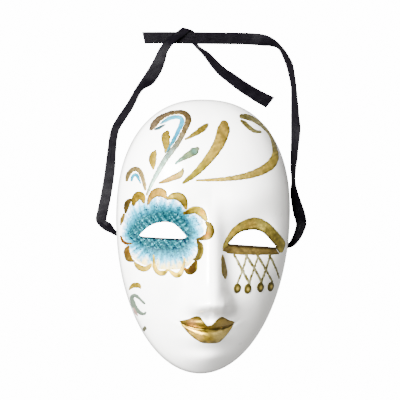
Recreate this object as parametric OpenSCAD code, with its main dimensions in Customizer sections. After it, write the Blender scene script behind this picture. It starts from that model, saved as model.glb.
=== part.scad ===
// Full-face carnival mask of papier-mache, lying on its rim with the face up.
// The forehead is towards +Y, and both satin tie ribbons lie on the table.
// Origin: the table, under the middle of the mask. Units: millimetres.

/* [Mask] */
// Height of the mask from chin to forehead
mask_h = 240; // [220:5:260]
// Width of the mask from temple to temple
mask_w = 153; // [144:1:162]
// Height of the face above the table, between the eyes
dome_h = 60; // [54:1:66]
// Wall thickness of the papier-mache
wall = 2.5; // [2:0.1:3]

/* [Face] */
// How far the nose tip stands out from the cheeks
nose_out = 26; // [22:1:29]
// Depth of the two eye sockets
socket_depth = 11; // [8:1:13]
// Fullness of the lips
lip_out = 4.5; // [3:0.5:6]

/* [Decoration] */
// Thickness of the raised gold paint
gold_h = 0.5; // [0.3:0.1:0.8]
// Thickness of the glitter paste round the eye
glitter_h = 0.9; // [0.6:0.1:1.2]
// Height of the painted beads
bead_h = 1; // [0.6:0.1:1.4]

/* [Ribbons] */
// Width of the satin ribbon
ribbon_w = 10; // [8:1:12]
// Thickness of the satin ribbon
ribbon_t = 0.4; // [0.3:0.05:0.4]

/* [Hidden] */
PETALS = 14;
BEADS = 4;

// The drawing below is set out on a mask 153 mm wide and 240 mm high.
kx = mask_w/153;
ky = mask_h/240;
kr = ribbon_w/10;
half_w = 76.5;          // from the middle to the temple
wide_y = 19;            // the widest line, above the middle
top_h = 101;            // from the widest line to the top of the forehead
chin_h = 139;           // from the widest line to the chin
top_power = 2.3;        // squareness of the forehead's outline
chin_power = 2;         // squareness of the jaw's outline
clear = 0.1;            // gap between the shell and the paint on it

// ---- the face as a height above the table ----

function hump(x, y, cx, cy, sx, sy) = exp(-pow((x - cx)/sx, 2) - pow((y - cy)/sy, 2));
function ramp(a, b, t) = let (u = min(1, max(0, (t - a)/(b - a)))) u*u*(3 - 2*u);

// 0 in the middle of the mask, 1 on its rim; e draws the rim in
function rho(x, y, e) =
    let (up = y > wide_y, h = (up ? top_h : chin_h) - e, p = up ? top_power : chin_power)
    pow(pow(abs(x)/(half_w - e), p) + pow(abs(y - wide_y)/h, p), 1/p);

function nose(x, y, e) =
    let (
        down = min(1.2, max(0, (36 - y)/92)),
        ridge = nose_out*pow(down, 1.15)*ramp(-72, -56, y - 1.8*e),
        width = 7.5 + 8*down - 0.8*e
    )
    ridge*exp(-pow(abs(x)/width, 2.4))
    + 4*hump(x, y, 0, -54, 9, 9)
    + 7*hump(abs(x), y, 12.5, -58, 6, 7.5);

function mouth(x, y) =
    let (line_y = -79 + 6*pow(x/25, 2))
    lip_out*hump(x, y, 0, -73, 20, 5)
    + 1.15*lip_out*hump(x, y, 0, -86, 16, 5.5)
    - 3*exp(-pow((y - line_y)/1.8, 2) - pow(x/23, 4))
    - 1.5*hump(x, y, 0, -70, 3.2, 5);

function relief(x, y) =
    4*hump(abs(x), y, 27, 33, 26, 11)
    - socket_depth*hump(abs(x), y, 36, 3, 19, 14)
    + 3*hump(abs(x), y, 39, 1, 15, 8)
    + 5*hump(abs(x), y, 36, -40, 24, 24)
    + 14*hump(x, y, 0, -79, 29, 22)
    + 15*hump(x, y, 0, -106, 22, 13)
    - 4*hump(x, y, 0, -98, 17, 5)
    + mouth(x, y);

// Height of the outer face, or of the inner one when e is the wall thickness
function face(x, y, e = 0) =
    let (r = min(1, rho(x, y, e)))
    (dome_h - e)*pow(1 - pow(r, 2.4), 0.55)
    + (1 - pow(r, 8))*(relief(x, y) + nose(x, y, e));

function on_face(p, lift) = [p.x*kx, p.y*ky, face(p.x, p.y) + lift];
function on_inside(p, depth) = [p.x*kx, p.y*ky, face(p.x, p.y, wall + depth)];

// ---- curves and lofts ----

function spline(a, b, c, d, t) =
    0.5*(2*b + (c - a)*t + (2*a - 5*b + 4*c - d)*t*t + (3*b - 3*c + d - a)*t*t*t);
function curve(p, n) = let (m = len(p) - 1) [
    for (i = [0:m - 1]) for (k = [0:n - 1])
        spline(p[max(0, i - 1)], p[i], p[i + 1], p[min(m, i + 2)], k/n),
    p[m]
];
function closed_curve(p, n) = let (m = len(p)) [
    for (i = [0:m - 1]) for (k = [0:n - 1])
        spline(p[(i + m - 1)%m], p[i], p[(i + 1)%m], p[(i + 2)%m], k/n)
];
function mix(a, b, t) = a + (b - a)*t;
function left_of(d) = [-d.y, d.x]/norm(d);

// A solid through rings of points; each ring runs left, top, right, bottom along the travel.
// The lower half is split on the same diagonals as the upper half, so that a thin film on a
// twisted surface never passes through itself.
module loft(rings, closed = false) {
    m = len(rings[0]);
    n = len(rings);
    sides = [
        for (i = [0:(closed ? n - 1 : n - 2)]) for (j = [0:m - 1])
            let (here = i*m, next = ((i + 1)%n)*m, k = (j + 1)%m)
            each j < m/2
                ? [[here + j, next + k, here + k], [here + j, next + j, next + k]]
                : [[here + j, next + j, here + k], [here + k, next + j, next + k]]
    ];
    ends = closed ? [] : [
        for (j = [1:m - 2]) each [[0, j, j + 1], [(n - 1)*m, (n - 1)*m + j + 1, (n - 1)*m + j]]
    ];
    polyhedron([for (r = rings) each r], concat(sides, ends), convexity = 8);
}

// A raised brush stroke; pts are [x, y, width] along its middle
module stroke(pts, n = 3, h = gold_h, base = clear) {
    c = curve(pts, n);
    m = len(c) - 1;
    loft([
        for (i = [0:m])
            let (
                side = left_of(c[min(m, i + 1)] - c[max(0, i - 1)])*c[i].z/2,
                p = [c[i].x, c[i].y]
            )
            [on_face(p + side, base), on_face(p, base + h), on_face(p - side, base), on_face(p, base)]
    ]);
}

// A raised film between two edges with the same number of points, cols strips wide
module film(left, right, h, cols = 3, base = clear, closed = false) {
    loft([
        for (i = [0:len(left) - 1]) [
            for (k = [0:cols])
                on_face(mix(left[i], right[i], k/cols), base + h*sin(180*k/cols)),
            for (k = [cols - 1:-1:1])
                on_face(mix(left[i], right[i], k/cols), base)
        ]
    ], closed);
}

// A raised dot, rx by ry, with a round top
module dot(c, rx, ry, h) {
    cols = 4;
    loft([
        for (a = [-80:20:80]) [
            for (k = [0:cols])
                on_face(c + [rx*cos(a)*(2*k/cols - 1), ry*sin(a)], clear + h*cos(a)*sin(180*k/cols)),
            for (k = [cols - 1:-1:1])
                on_face(c + [rx*cos(a)*(2*k/cols - 1), ry*sin(a)], clear)
        ]
    ]);
}

// ---- the shell ----

RINGS = 28;
SPOKES = 96;
hub = [0, -30];         // the spokes spread from here, so they are close together on the nose

function rim(a, e) =
    let (up = sin(a) > 0, h = (up ? top_h : chin_h) - e, p = 2/(up ? top_power : chin_power))
    [
        (half_w - e)*sign(cos(a))*pow(abs(cos(a)), p),
        wide_y + h*sign(sin(a))*pow(abs(sin(a)), p)
    ];
function spoke_point(i, j, e) =
    let (p = mix(hub, rim(360*i/SPOKES, e), sin(90*j/RINGS)))
    [p.x*kx, p.y*ky, j == RINGS ? 0 : face(p.x, p.y, e)];

module whole_shell() {
    skin = 1 + RINGS*SPOKES;
    points = [
        for (e = [0, wall]) each [
            [hub.x*kx, hub.y*ky, face(hub.x, hub.y, e)],
            for (j = [1:RINGS]) for (i = [0:SPOKES - 1]) spoke_point(i, j, e)
        ]
    ];
    function at(s, i, j) = s*skin + 1 + (j - 1)*SPOKES + i%SPOKES;
    faces = [
        for (i = [0:SPOKES - 1]) each [
            [0, at(0, i + 1, 1), at(0, i, 1)],
            [skin, at(1, i, 1), at(1, i + 1, 1)],
            for (j = [1:RINGS - 1]) each [
                [at(0, i, j), at(0, i + 1, j), at(0, i + 1, j + 1)],
                [at(0, i, j), at(0, i + 1, j + 1), at(0, i, j + 1)],
                [at(1, i, j), at(1, i + 1, j + 1), at(1, i + 1, j)],
                [at(1, i, j), at(1, i, j + 1), at(1, i + 1, j + 1)]
            ],
            [at(0, i, RINGS), at(0, i + 1, RINGS), at(1, i + 1, RINGS)],
            [at(0, i, RINGS), at(1, i + 1, RINGS), at(1, i, RINGS)]
        ]
    ];
    polyhedron(points, faces, convexity = 8);
}

// Edges of the eye openings, counter-clockwise
left_eye = [
    [-20.2, -0.8], [-23.5, 4], [-27.5, 8], [-32, 10.8], [-38.2, 11.6], [-44, 10.7],
    [-49, 8.7], [-54, 5], [-58.4, -0.5], [-56.5, -2.2], [-51, -2.6], [-45, -2.9],
    [-38, -3.1], [-31, -3.3], [-25, -3.4], [-21.5, -2.8]
];
right_eye = [
    [59.8, -8.4], [56.6, -4.5], [53.3, -0.5], [48.9, 3.5], [44.3, 5.9], [38.5, 6.8],
    [30.7, 5.6], [26.2, 3.8], [22, 0.8], [19, -2.5], [16.4, -6.3], [24.3, -7.1],
    [38, -7.7], [50, -8.2]
];

module opening(edge) {
    linear_extrude(120) polygon([for (p = closed_curve(edge, 2)) [p.x*kx, p.y*ky]]);
}

// Height of the notches in the rim, and where they are along it
notch_h = 2.4;
notch_w = 16;
exit_y_left = 1;
exit_y_right = -6;

module notch(side, y) {
    translate([side*half_w*kx, y*ky, 0]) cube([16, notch_w, 2*notch_h], center = true);
}

module mask_shell() {
    color("white") difference() {
        whole_shell();
        opening(left_eye);
        opening(right_eye);
        notch(-1, exit_y_left);
        notch(1, exit_y_right);
    }
}

// ---- ribbons ----

// Each row is the left edge and the right edge of the ribbon, x y z each, from its glued end
ribbon_left_route = [
    [-66.8, -2, 21.5, -67.2, 4, 21.5],
    [-69.6, -2, 15, -70.1, 4, 15],
    [-71.6, -2, 8, -72.1, 4, 8],
    [-72.6, -2, 2.4, -72.9, 4, 2.4],
    [-76.4, -1.2, 1.2, -76.0, 3.4, 1.2],
    [-81, 1, 1.4, -79, 7, 2],
    [-88, 4.5, 0.6, -81.5, 10, 3.5],
    [-94, 11.5, 0.5, -84.6, 12, 2],
    [-93, 20, 0.5, -83.7, 19, 3.5],
    [-91, 30, 0.5, -82, 29, 4.5],
    [-89.3, 40, 0.5, -80.6, 39, 5],
    [-87.6, 51, 0.5, -79.4, 50, 5.8],
    [-86.4, 62, 0.5, -78.7, 61, 6.4],
    [-85.2, 73, 0.5, -78.4, 72, 7.2],
    [-84.2, 83, 0.5, -77.8, 82, 7.6],
    [-82, 93, 0.5, -76, 91, 8],
    [-76.5, 103.5, 0.5, -70.6, 100.5, 7.8],
    [-70.2, 113, 0.5, -65, 109.6, 8],
    [-65.5, 121.4, 0.5, -61, 118.2, 8],
    [-61.5, 128.8, 0.5, -56.4, 126.2, 7.6],
    [-55.6, 138, 0.5, -47.2, 132.2, 2],
    [-50.4, 146.6, 0.6, -40.4, 142.6, 1.4],
    [-46, 155, 0.6, -37.2, 152.2, 4],
    [-42.8, 162, 0.8, -35.4, 160, 6],
    [-38.4, 168.8, 2.2, -32, 165.6, 7.4],
    [-33.6, 173.4, 2, -26.6, 171.2, 5.4],
    [-27.6, 178.2, 2, -20.2, 176, 3],
    [-22.6, 182.2, 1.4, -15.6, 180, 1.8],
    [-20.8, 181.8, 0.5, -13, 180.2, 0.5],
    [-18.6, 177.4, 0.3, -11.6, 177.8, 0.4],
    [-15.2, 170.8, 0.3, -10.6, 174.8, 0.4],
    [-10.8, 166, 0.3, -8.2, 168.2, 0.5],
    [-6.8, 162.2, 0.4, -4.2, 164.2, 4.2],
    [-3, 158.4, 0.5, 0.7, 161, 7],
    [5.2, 148, 0.5, 9.8, 152.4, 7.4],
    [11, 142, 0.4, 16, 147.4, 6.2],
    [18.8, 136, 0.4, 23.6, 143.2, 4.2],
    [27.2, 129.8, 0.4, 32.2, 137.8, 2.8],
    [35.9, 124.4, 0.3, 41, 132.8, 1.4],
    [44.6, 119.2, 0.3, 50.2, 128.2, 0.6],
    [53.5, 114.6, 0.3, 60.5, 123.7, 0.3]
];
ribbon_right_route = [
    [66.1, -9, 21.5, 66.7, -3, 21.5],
    [69, -9, 15, 69.6, -3, 15],
    [70.9, -9, 8, 71.5, -3, 8],
    [71.7, -9, 2.4, 72.3, -3, 2.4],
    [76.2, -8.4, 1.2, 75.8, -3.8, 1.2],
    [81.4, -6, 1.6, 78, -0.6, 1.4],
    [87, 1.6, 3.2, 80.6, 5.4, 0.6],
    [91.6, 12.4, 0.5, 82.2, 13, 0.5],
    [90, 22, 3.5, 79.6, 21.6, 0.5],
    [86.8, 30.4, 5, 77.8, 30.8, 0.5],
    [82.2, 41, 8, 76.6, 41, 0.5],
    [79.6, 50.4, 10, 77.4, 50.6, 0.5],
    [79.8, 61, 9.6, 76.4, 61, 0.5],
    [81, 70, 9.2, 76.2, 70, 0.5],
    [81.6, 79, 8.8, 76.2, 79, 0.5],
    [82.6, 88, 8, 76.2, 88, 0.5],
    [83.2, 97.4, 7.6, 76, 97.4, 0.5],
    [81.8, 107, 8.4, 75.8, 107, 0.5],
    [80.6, 117, 9.2, 75.6, 117, 0.5],
    [79.4, 126, 9.6, 75.4, 126, 0.5],
    [78.4, 134, 9.8, 75, 133.4, 0.5],
    [77, 143, 9.4, 73.2, 142, 0.5],
    [75, 152.6, 9.4, 70.8, 150.8, 0.5],
    [70, 161.4, 9.8, 67.4, 158.8, 0.5],
    [64.6, 168.4, 10, 63, 166.6, 0.5],
    [57.4, 174.6, 8.6, 55.8, 168.8, 0.5],
    [50, 178.2, 5, 49.4, 169, 0.5],
    [42, 179.4, 1.2, 41.6, 169.4, 0.5],
    [30, 179.6, 0.6, 30, 169.6, 0.6],
    [12, 179.2, 0.8, 12, 169.2, 0.8],
    [-4, 178.8, 1.1, -4, 168.8, 1.1],
    [-16, 178.6, 1.2, -16, 168.6, 1.2],
    [-28, 178.2, 1.2, -28, 168.4, 1.2],
    [-42, 177.8, 0.9, -41.6, 168.1, 0.8],
    [-57.6, 177.2, 0.3, -55.2, 167.5, 0.3]
];

// A flat band swept between its two edges
module ribbon(route) {
    rows = [
        for (r = route)
            let (
                l = [r[0]*kx, r[1]*ky, r[2]*kr],
                q = [r[3]*kx, r[4]*ky, r[5]*kr],
                c = (l + q)/2
            )
            [c.x, c.y, c.z, (l - c).x*kr, (l - c).y*kr, (l - c).z]
    ];
    m = len(rows) - 1;
    loft([
        for (i = [0:m])
            let (
                r = rows[i],
                c = [r[0], r[1], r[2]],
                side = [r[3], r[4], r[5]],
                a = rows[max(0, i - 1)],
                b = rows[min(m, i + 1)],
                up = cross([b[0] - a[0], b[1] - a[1], b[2] - a[2]], side),
                lift = up/norm(up)*ribbon_t/2
            )
            [c + side - lift, c + side + lift, c - side + lift, c - side - lift]
    ]);
}

module ribbon_left() { color("#17151c") ribbon(ribbon_left_route); }
module ribbon_right() { color("#17151c") ribbon(ribbon_right_route); }

// A paper strip pasted over each ribbon's end, inside the temple
patch_half = 9;
patch_t = 0.5;
module patch(side, y) {
    steps = 6;
    inner_edge = 64.6;
    outer_edge = 69.6;
    over = ribbon_t + 0.6;
    loft([
        for (i = [0:steps])
            let (v = y + patch_half*(2*i/steps - 1))
            [
                for (u = [inner_edge, outer_edge]) on_inside([side*u, v], over),
                for (u = [outer_edge - patch_t, inner_edge - patch_t])
                    on_inside([side*u, v], over + patch_t)
            ]
    ]);
}
module ribbon_patch_left() { color("#d8cfbd") patch(-1, exit_y_left); }
module ribbon_patch_right() { color("#d8cfbd") mirror([1, 0, 0]) patch(-1, exit_y_right); }

// ---- left eye: glitter band, blue wash and gold petals ----

band_edge = [
    [-17.4, 3], [-20.1, 10.3], [-24.6, 16.2], [-30.6, 19.8], [-38.9, 20.5], [-47, 19],
    [-54.9, 15.5], [-61, 11], [-67, 1], [-63, -5], [-55.5, -9], [-48, -11],
    [-40, -11.7], [-31, -11.4], [-24, -9.7], [-19, -4.5]
];
wash_edge = [
    [-7, 5], [-9, 16], [-17, 21], [-26, 28.5], [-37, 30.5], [-46, 33],
    [-57, 30], [-67, 24], [-71.5, 4], [-70, -7], [-64, -18], [-54, -25],
    [-42, -28], [-29, -28], [-18, -24], [-11, -11]
];

module eye_glitter_band() {
    inner = closed_curve([for (i = [0:len(left_eye) - 1]) mix(left_eye[i], band_edge[i], 0.06)], 3);
    color("#2b8c98") film(inner, closed_curve(band_edge, 3), glitter_h, closed = true);
}

module petal_wash() {
    inner = closed_curve([for (i = [0:len(band_edge) - 1]) mix(band_edge[i], wash_edge[i], 0.04)], 3);
    color("#bfe3f0") film(inner, closed_curve(wash_edge, 3), 0.2, closed = true);
}

petal_paths = [
    [[-70, 19, 2], [-69.4, 25, 4.5], [-67.8, 28.8, 4.5], [-65, 30, 2]],
    [[-64.2, 26, 3], [-62.5, 31.5, 6.5], [-60, 33.8, 7.5], [-57.6, 32, 6], [-56.3, 28, 2.5]],
    [[-52.6, 27, 2.5], [-50.4, 33, 5.5], [-46, 36.6, 8], [-41.5, 35.8, 8], [-38.8, 32.5, 3]],
    [[-37, 31.5, 3], [-33, 33.5, 6], [-28.5, 33.5, 7.5], [-24.5, 30.5, 7.5], [-21.6, 24, 3]],
    [[-22.3, 19.6, 3.6], [-18.5, 21, 5.6], [-13.8, 22.4, 6.8], [-8.8, 20.4, 7.6], [-5, 14.8, 3.6]],
    [[-4.4, 12, 2.6], [-1.8, 9, 6], [-1.2, 4.6, 7.8], [-3.2, 0.4, 6.6], [-7.5, -1.4, 4], [-12, -2.5, 2]],
    [[-11, -4, 2.5], [-9.2, -8, 5], [-9.3, -14, 5], [-11.4, -18.5, 4.5], [-14, -19.5, 2]],
    [[-12.6, -21.5, 3], [-14.6, -27, 6.8], [-17.6, -30, 6.2], [-20.9, -28, 2.8]],
    [[-21.5, -19, 1.5], [-22.8, -27, 3], [-25.6, -32.6, 4.8], [-29.2, -33, 4.4], [-34.2, -29.4, 2]],
    [[-35.6, -29.4, 2], [-38.6, -31.9, 4.5], [-42, -31.8, 4.5], [-45.7, -28, 3.5], [-47, -17, 1.5]],
    [[-49, -25, 2], [-51.8, -28.2, 4.5], [-55.3, -28.9, 5], [-59, -27, 4.5], [-61.6, -24, 2]],
    [[-62.6, -22.4, 2], [-65.6, -21.2, 5], [-67.4, -17.5, 5.5], [-68, -13, 4.5], [-67, -10, 2]],
    [[-73, -1.5, 1.2], [-71.5, -5.5, 2.5], [-68.5, -7.4, 2.5], [-64.5, -7.5, 1.2]],
    [[-73.4, 8.5, 1.2], [-72.4, 13, 3], [-71.2, 17.5, 2]]
];
// The upper petals are deep gold, one below the nose side is brown, the lower ones are pale
petal_colors = [
    "#b0894a", "#b08a3c", "#b8904c", "#a88a4a", "#b3924f", "#ab8b3e", "#8f7038",
    "#6f5628", "#cdb878", "#cbb36c", "#d2ba70", "#b58f45", "#b98a55", "#c9b283"
];

module petal(i) {
    color(petal_colors[i - 1]) stroke(petal_paths[i - 1], base = 3*clear);
}

// ---- right eye: gold lids, tear drop and bead fringe ----

module eyelid_upper() {
    outer = [
        [9.4, -10.5], [11.6, -4], [17, 5], [25.5, 13], [38, 17.6], [49, 15],
        [57, 9.4], [64, 3], [70.4, -4.2], [67.4, -12.2]
    ];
    inner = [
        [13.6, -9.4], [14.8, -5], [18.6, -1], [25.6, 4.8], [38.5, 7.8], [49.4, 4.4],
        [54.2, 0.2], [57.6, -4], [61, -8.2], [63, -12.6]
    ];
    color("#a9893f") film(curve(outer, 3), curve(inner, 3), gold_h);
}
module eyelid_lower() {
    upper = [[12, -8.2], [24.3, -8.2], [38, -8.8], [50, -9.3], [61.2, -10.1]];
    lower = [[9.6, -11.6], [18, -14.4], [36, -14.9], [53, -14.5], [62.8, -13.6]];
    color("#8a6b30") film(curve(upper, 3), curve(lower, 3), gold_h);
}
module tear_drop() {
    color("#8d7434") stroke([
        [9.9, -15.2, 1.4], [10.2, -19, 3.8], [11.3, -26, 5.8], [12.2, -31, 6], [12.6, -34.4, 2.6]
    ]);
}

// Strings run from the knots under the lid to the beads, and the two layers cross clear of each other
string_w = 1.6;
string_h = 0.2;
string_tops = [[21.4, -15.8], [32, -15.9], [42.7, -15.9], [54, -15.6]];
string_feet = [[24.6, -38.2], [34.8, -38.6], [46.4, -37.5], [57.2, -36.9], [65, -33.6]];
module string(top, foot, base) {
    stroke([
        for (t = [0:0.25:1]) let (p = mix(top, foot, t)) [p.x, p.y, string_w]
    ], n = 1, h = string_h, base = base);
}
module fringe_strings() {
    color("#a1905c") {
        for (i = [1:3]) string(string_tops[i], string_feet[i - 1], clear);
        for (i = [0:3]) string(string_tops[i], string_feet[i + 1], 2*clear + string_h);
    }
}
bead_spots = [[24.4, -43.4], [33.8, -43.8], [45.8, -42.4], [56.6, -41.7]];
module fringe_bead(i) {
    color("#8f7a3a") dot(bead_spots[i - 1], 3.3, 4.1, bead_h);
}

// ---- lips ----

mouth_line = [[-23.6, -72.9], [-17.8, -76.2], [-9, -78.2], [0, -78.9], [9, -78.7], [18, -77], [23.4, -73]];
module lip_upper() {
    top = [[-24.2, -72.4], [-17, -70.2], [-9, -67.4], [0, -75.6], [9.5, -67.8], [17, -70], [24, -72.4]];
    color("#a8894a") film(curve(top, 3), curve(mouth_line, 3), gold_h);
}
module lip_lower() {
    drop = [0, -0.5];
    bottom = [[-22, -76.2], [-14.7, -84.3], [-6, -90.2], [1.5, -91.3], [10.6, -90.3], [17, -84], [22, -76.4]];
    color("#b3955a") film(curve([for (p = mouth_line) p + drop], 3), curve(bottom, 3), gold_h);
}

// ---- forehead scrolls ----

module swirl_large() {
    color("#a58c58") stroke([
        [-49.6, 91.8, 3.2], [-47, 95.8, 5.4], [-42.4, 101.2, 5], [-34, 105.8, 4.2],
        [-25.5, 107, 4.4], [-20.6, 105.2, 5.6], [-18.8, 100.4, 5.8], [-21.6, 92.5, 4.8],
        [-29.2, 78.5, 4.6], [-38.2, 66.4, 4.8], [-45, 54.3, 4], [-50.2, 43.7, 3], [-54, 34.5, 1.8]
    ], n = 2);
}
module swirl_large_hook() {
    color("#a58c58") stroke([[-46.4, 91.4, 2], [-43.6, 92.6, 2.8], [-40.8, 94.2, 2.2], [-38.4, 95.6, 1]]);
}
module swirl_large_blue() {
    color("#79c4dd") stroke([
        [-41.8, 96.4, 1.2], [-38.4, 98.8, 3], [-32.8, 101.8, 3.8], [-26.8, 102.4, 3.8],
        [-24, 99.4, 4.2],
        [-26.6, 92.4, 3.8], [-32.2, 81.4, 3.2], [-36.2, 74.6, 2], [-38.6, 70.6, 1]
    ], n = 2);
}
module swirl_small() {
    color("#a3926a") stroke([
        [-69.4, 47, 2.4], [-68.4, 52, 3.6], [-65.2, 56, 4], [-60.8, 56.2, 4.2], [-57.8, 50.6, 3.6],
        [-56.2, 44.5, 3.2], [-55.2, 39, 2]
    ], n = 2);
}
module swirl_small_blue() {
    color("#86c8d8") stroke([
        [-66, 46.6, 1.6], [-65, 50.4, 2.8], [-62.8, 51.8, 3], [-61, 49.4, 2.6], [-59, 44.5, 1.2]
    ], n = 2);
}
module teardrop_large() {
    color("#b39a5c") stroke([
        [-38.8, 71.4, 2], [-38, 76, 5.2], [-38.4, 81.4, 7], [-38, 86, 7.2], [-36.8, 88.6, 4]
    ]);
}
module teardrop_small() {
    color("#b39a5c") stroke([
        [-48.9, 57.2, 2.2], [-49.1, 61.4, 5.2], [-49.3, 66, 6.6], [-47.8, 70.4, 4.6], [-47, 72.4, 2]
    ]);
}
module leaf_top() {
    color("#b79a4e") stroke([
        [-22, 82.8, 1.6], [-16.8, 85.8, 3.4], [-11, 89.6, 5], [-6.2, 93.2, 5.4], [-3, 96.2, 3]
    ]);
}
module leaf_middle() {
    color("#9a9a62") stroke([
        [-30.6, 61.6, 1.6], [-25.2, 65.8, 3.8], [-19, 69.6, 6.2], [-14.4, 72.8, 7], [-12.2, 74.6, 4]
    ]);
}
module leaf_bottom() {
    color("#c0893e") stroke([
        [-43.6, 44.8, 2], [-38.3, 46.8, 3.8], [-33, 49.2, 5], [-28, 51.5, 5.6], [-25.2, 54.6, 4],
        [-24.4, 57.4, 1.4]
    ]);
}
module comma_stroke() {
    color("#b0934f") stroke([
        [12, 96.8, 8], [11.2, 92.6, 11.6], [7.2, 81.4, 10.6], [1.8, 72.3, 9.2], [-3.5, 65.3, 8],
        [-9.5, 58.2, 6.8], [-15.4, 52.3, 5.4], [-21, 47.8, 4], [-24, 45.2, 2.4]
    ]);
}
module sweep_stroke() {
    color("#ad9152") stroke([
        [-13, 47.6, 1.6], [-1.8, 48.2, 2.8], [15.5, 49.9, 4.4], [33.2, 53.5, 6.4],
        [47.3, 59.3, 8.4],
        [55.4, 65.6, 9], [58.8, 72.4, 8], [58.6, 79, 6.2], [57.2, 86.6, 5.2], [54.4, 92.6, 5.4],
        [48.9, 98, 6], [41.5, 102.2, 6], [34.3, 104.6, 6.2], [28.6, 104.8, 4.8]
    ], n = 2);
}
module sweep_hook() {
    color("#ad9152") stroke([
        [28, 100.8, 3], [31, 98.4, 5], [35.2, 94.6, 4.6], [40.2, 92, 3.6], [45.2, 92, 2.2]
    ]);
}

// ---- cheek ----

module cheek_crescent() {
    color("#b8975a") stroke([
        [-64.6, -47.8, 0.8], [-62.8, -44.6, 3.6], [-60, -43.2, 5], [-57.4, -44, 4],
        [-56.2, -45.8, 1]
    ]);
}
module cheek_scroll() {
    color("#8f9a80") stroke([
        [-52.3, -58.8, 1.8], [-57, -54.3, 2.6], [-60, -52.2, 3], [-62, -54, 3.2], [-61, -58.5, 3.6],
        [-58.5, -63.5, 3.6], [-54.8, -67.3, 3.2], [-52, -68, 2.6], [-50.8, -66.6, 1.6]
    ], n = 2);
}
module cheek_leaf() {
    color("#c9a58c") stroke([[-60, -62.4, 0.8], [-58.6, -66.4, 2], [-56.4, -70, 0.8]]);
}
module cheek_dot() {
    color("#9c9468") dot([-50.2, -81.2], 1.7, 2.2, 0.5);
}

mask_shell();
ribbon_left();
ribbon_right();
ribbon_patch_left();
ribbon_patch_right();
eye_glitter_band();
petal_wash();
for (i = [1:PETALS]) petal(i);
eyelid_upper();
eyelid_lower();
tear_drop();
fringe_strings();
for (i = [1:BEADS]) fringe_bead(i);
lip_upper();
lip_lower();
swirl_large();
swirl_large_hook();
swirl_large_blue();
swirl_small();
swirl_small_blue();
teardrop_large();
teardrop_small();
leaf_top();
leaf_middle();
leaf_bottom();
comma_stroke();
sweep_stroke();
sweep_hook();
cheek_crescent();
cheek_scroll();
cheek_leaf();
cheek_dot();
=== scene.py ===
"""The looks of a papier-mache carnival mask, painted in gold, blue and glitter, with satin ribbons.

Positions are in millimetres in the part's frame, and become metres when a mesh is made.
"""

import math

import bmesh
import bpy
import numpy as np
from mathutils import Matrix, Vector
from mathutils.geometry import delaunay_2d_cdt


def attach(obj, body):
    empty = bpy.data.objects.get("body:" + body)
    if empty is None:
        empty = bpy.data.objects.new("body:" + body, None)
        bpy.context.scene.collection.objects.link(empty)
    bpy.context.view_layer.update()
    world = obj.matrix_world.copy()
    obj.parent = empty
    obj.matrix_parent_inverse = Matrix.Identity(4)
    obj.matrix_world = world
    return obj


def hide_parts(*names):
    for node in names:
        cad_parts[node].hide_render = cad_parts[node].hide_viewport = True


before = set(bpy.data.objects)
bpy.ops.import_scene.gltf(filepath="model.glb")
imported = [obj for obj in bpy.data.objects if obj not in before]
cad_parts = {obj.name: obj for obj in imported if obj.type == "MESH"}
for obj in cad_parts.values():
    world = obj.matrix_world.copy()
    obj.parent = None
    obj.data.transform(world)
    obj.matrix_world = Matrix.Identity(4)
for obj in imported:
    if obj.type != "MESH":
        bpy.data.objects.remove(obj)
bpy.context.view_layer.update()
MM = 0.001


# ---------------------------------------------------------------- camera


CAMERA_TILT, CAMERA_ROLL = math.radians(6.5), math.radians(1.4)
CAMERA_FAR = 2.0                    # metres from the origin
CAMERA_AIM = Vector((-0.0031, 0.0319, 0))
CAMERA_LENS, CAMERA_SENSOR = 205.5, 36


def make_camera():
    """Looks down on the table, leaning a little to the left of the mask."""
    place = CAMERA_FAR * Vector((-math.sin(CAMERA_TILT), 0, math.cos(CAMERA_TILT)))
    back = (place - CAMERA_AIM).normalized()
    right = Vector((-math.sin(CAMERA_ROLL), math.cos(CAMERA_ROLL), 0)).cross(back).normalized()
    turned = Matrix((right, back.cross(right), back)).transposed()
    data = bpy.data.cameras.new("camera")
    data.sensor_width = CAMERA_SENSOR
    data.lens = CAMERA_LENS
    data.clip_start, data.clip_end = 0.1, 20
    camera = bpy.data.objects.new("camera", data)
    camera.matrix_world = Matrix.Translation(place) @ turned.to_4x4()
    bpy.context.scene.collection.objects.link(camera)
    bpy.context.scene.camera = camera


make_camera()


# ---------------------------------------------------------------- meshes and node materials


def smooth(rows, n, closed=False):
    """A Catmull-Rom curve through the rows, with n steps between each two."""
    r = np.asarray(rows, float)
    ends = (r[-1:], r[:2]) if closed else (r[:1], r[-1:])
    p = np.vstack([ends[0], r, ends[1]])
    t = np.arange(n)[:, None] / n
    parts = [
        0.5 * (2 * b + (c - a) * t + (2 * a - 5 * b + 4 * c - d) * t**2 + (3 * b - 3 * c + d - a) * t**3)
        for a, b, c, d in zip(p, p[1:], p[2:], p[3:])
    ]
    return np.vstack(parts + ([] if closed else [r[-1:]]))


def mix(a, b, t):
    return a + (b - a) * t


def lengths(points):
    """How far along the line each point is."""
    steps = np.linalg.norm(np.diff(points, axis=0), axis=1)
    return np.concatenate([[0], np.cumsum(steps)])


def even(points, step):
    """The same line with points about step apart. Further columns, such as a width, go along."""
    points = np.asarray(points, float)
    at = lengths(points[:, :2])
    new = np.linspace(0, at[-1], max(4, int(round(at[-1] / step)) + 1))
    return np.stack([np.interp(new, at, column) for column in points.T], 1)


def ripple(t, scale, seed, waves=7):
    """A smooth random wave of t, about -1 to 1, with features about scale long."""
    r = np.random.default_rng(seed)
    total = np.zeros_like(np.asarray(t, float))
    for _ in range(waves):
        total += np.sin(2 * np.pi * (t / (scale * r.uniform(0.6, 2.6)) + r.uniform()))
    return total / math.sqrt(waves)


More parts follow.
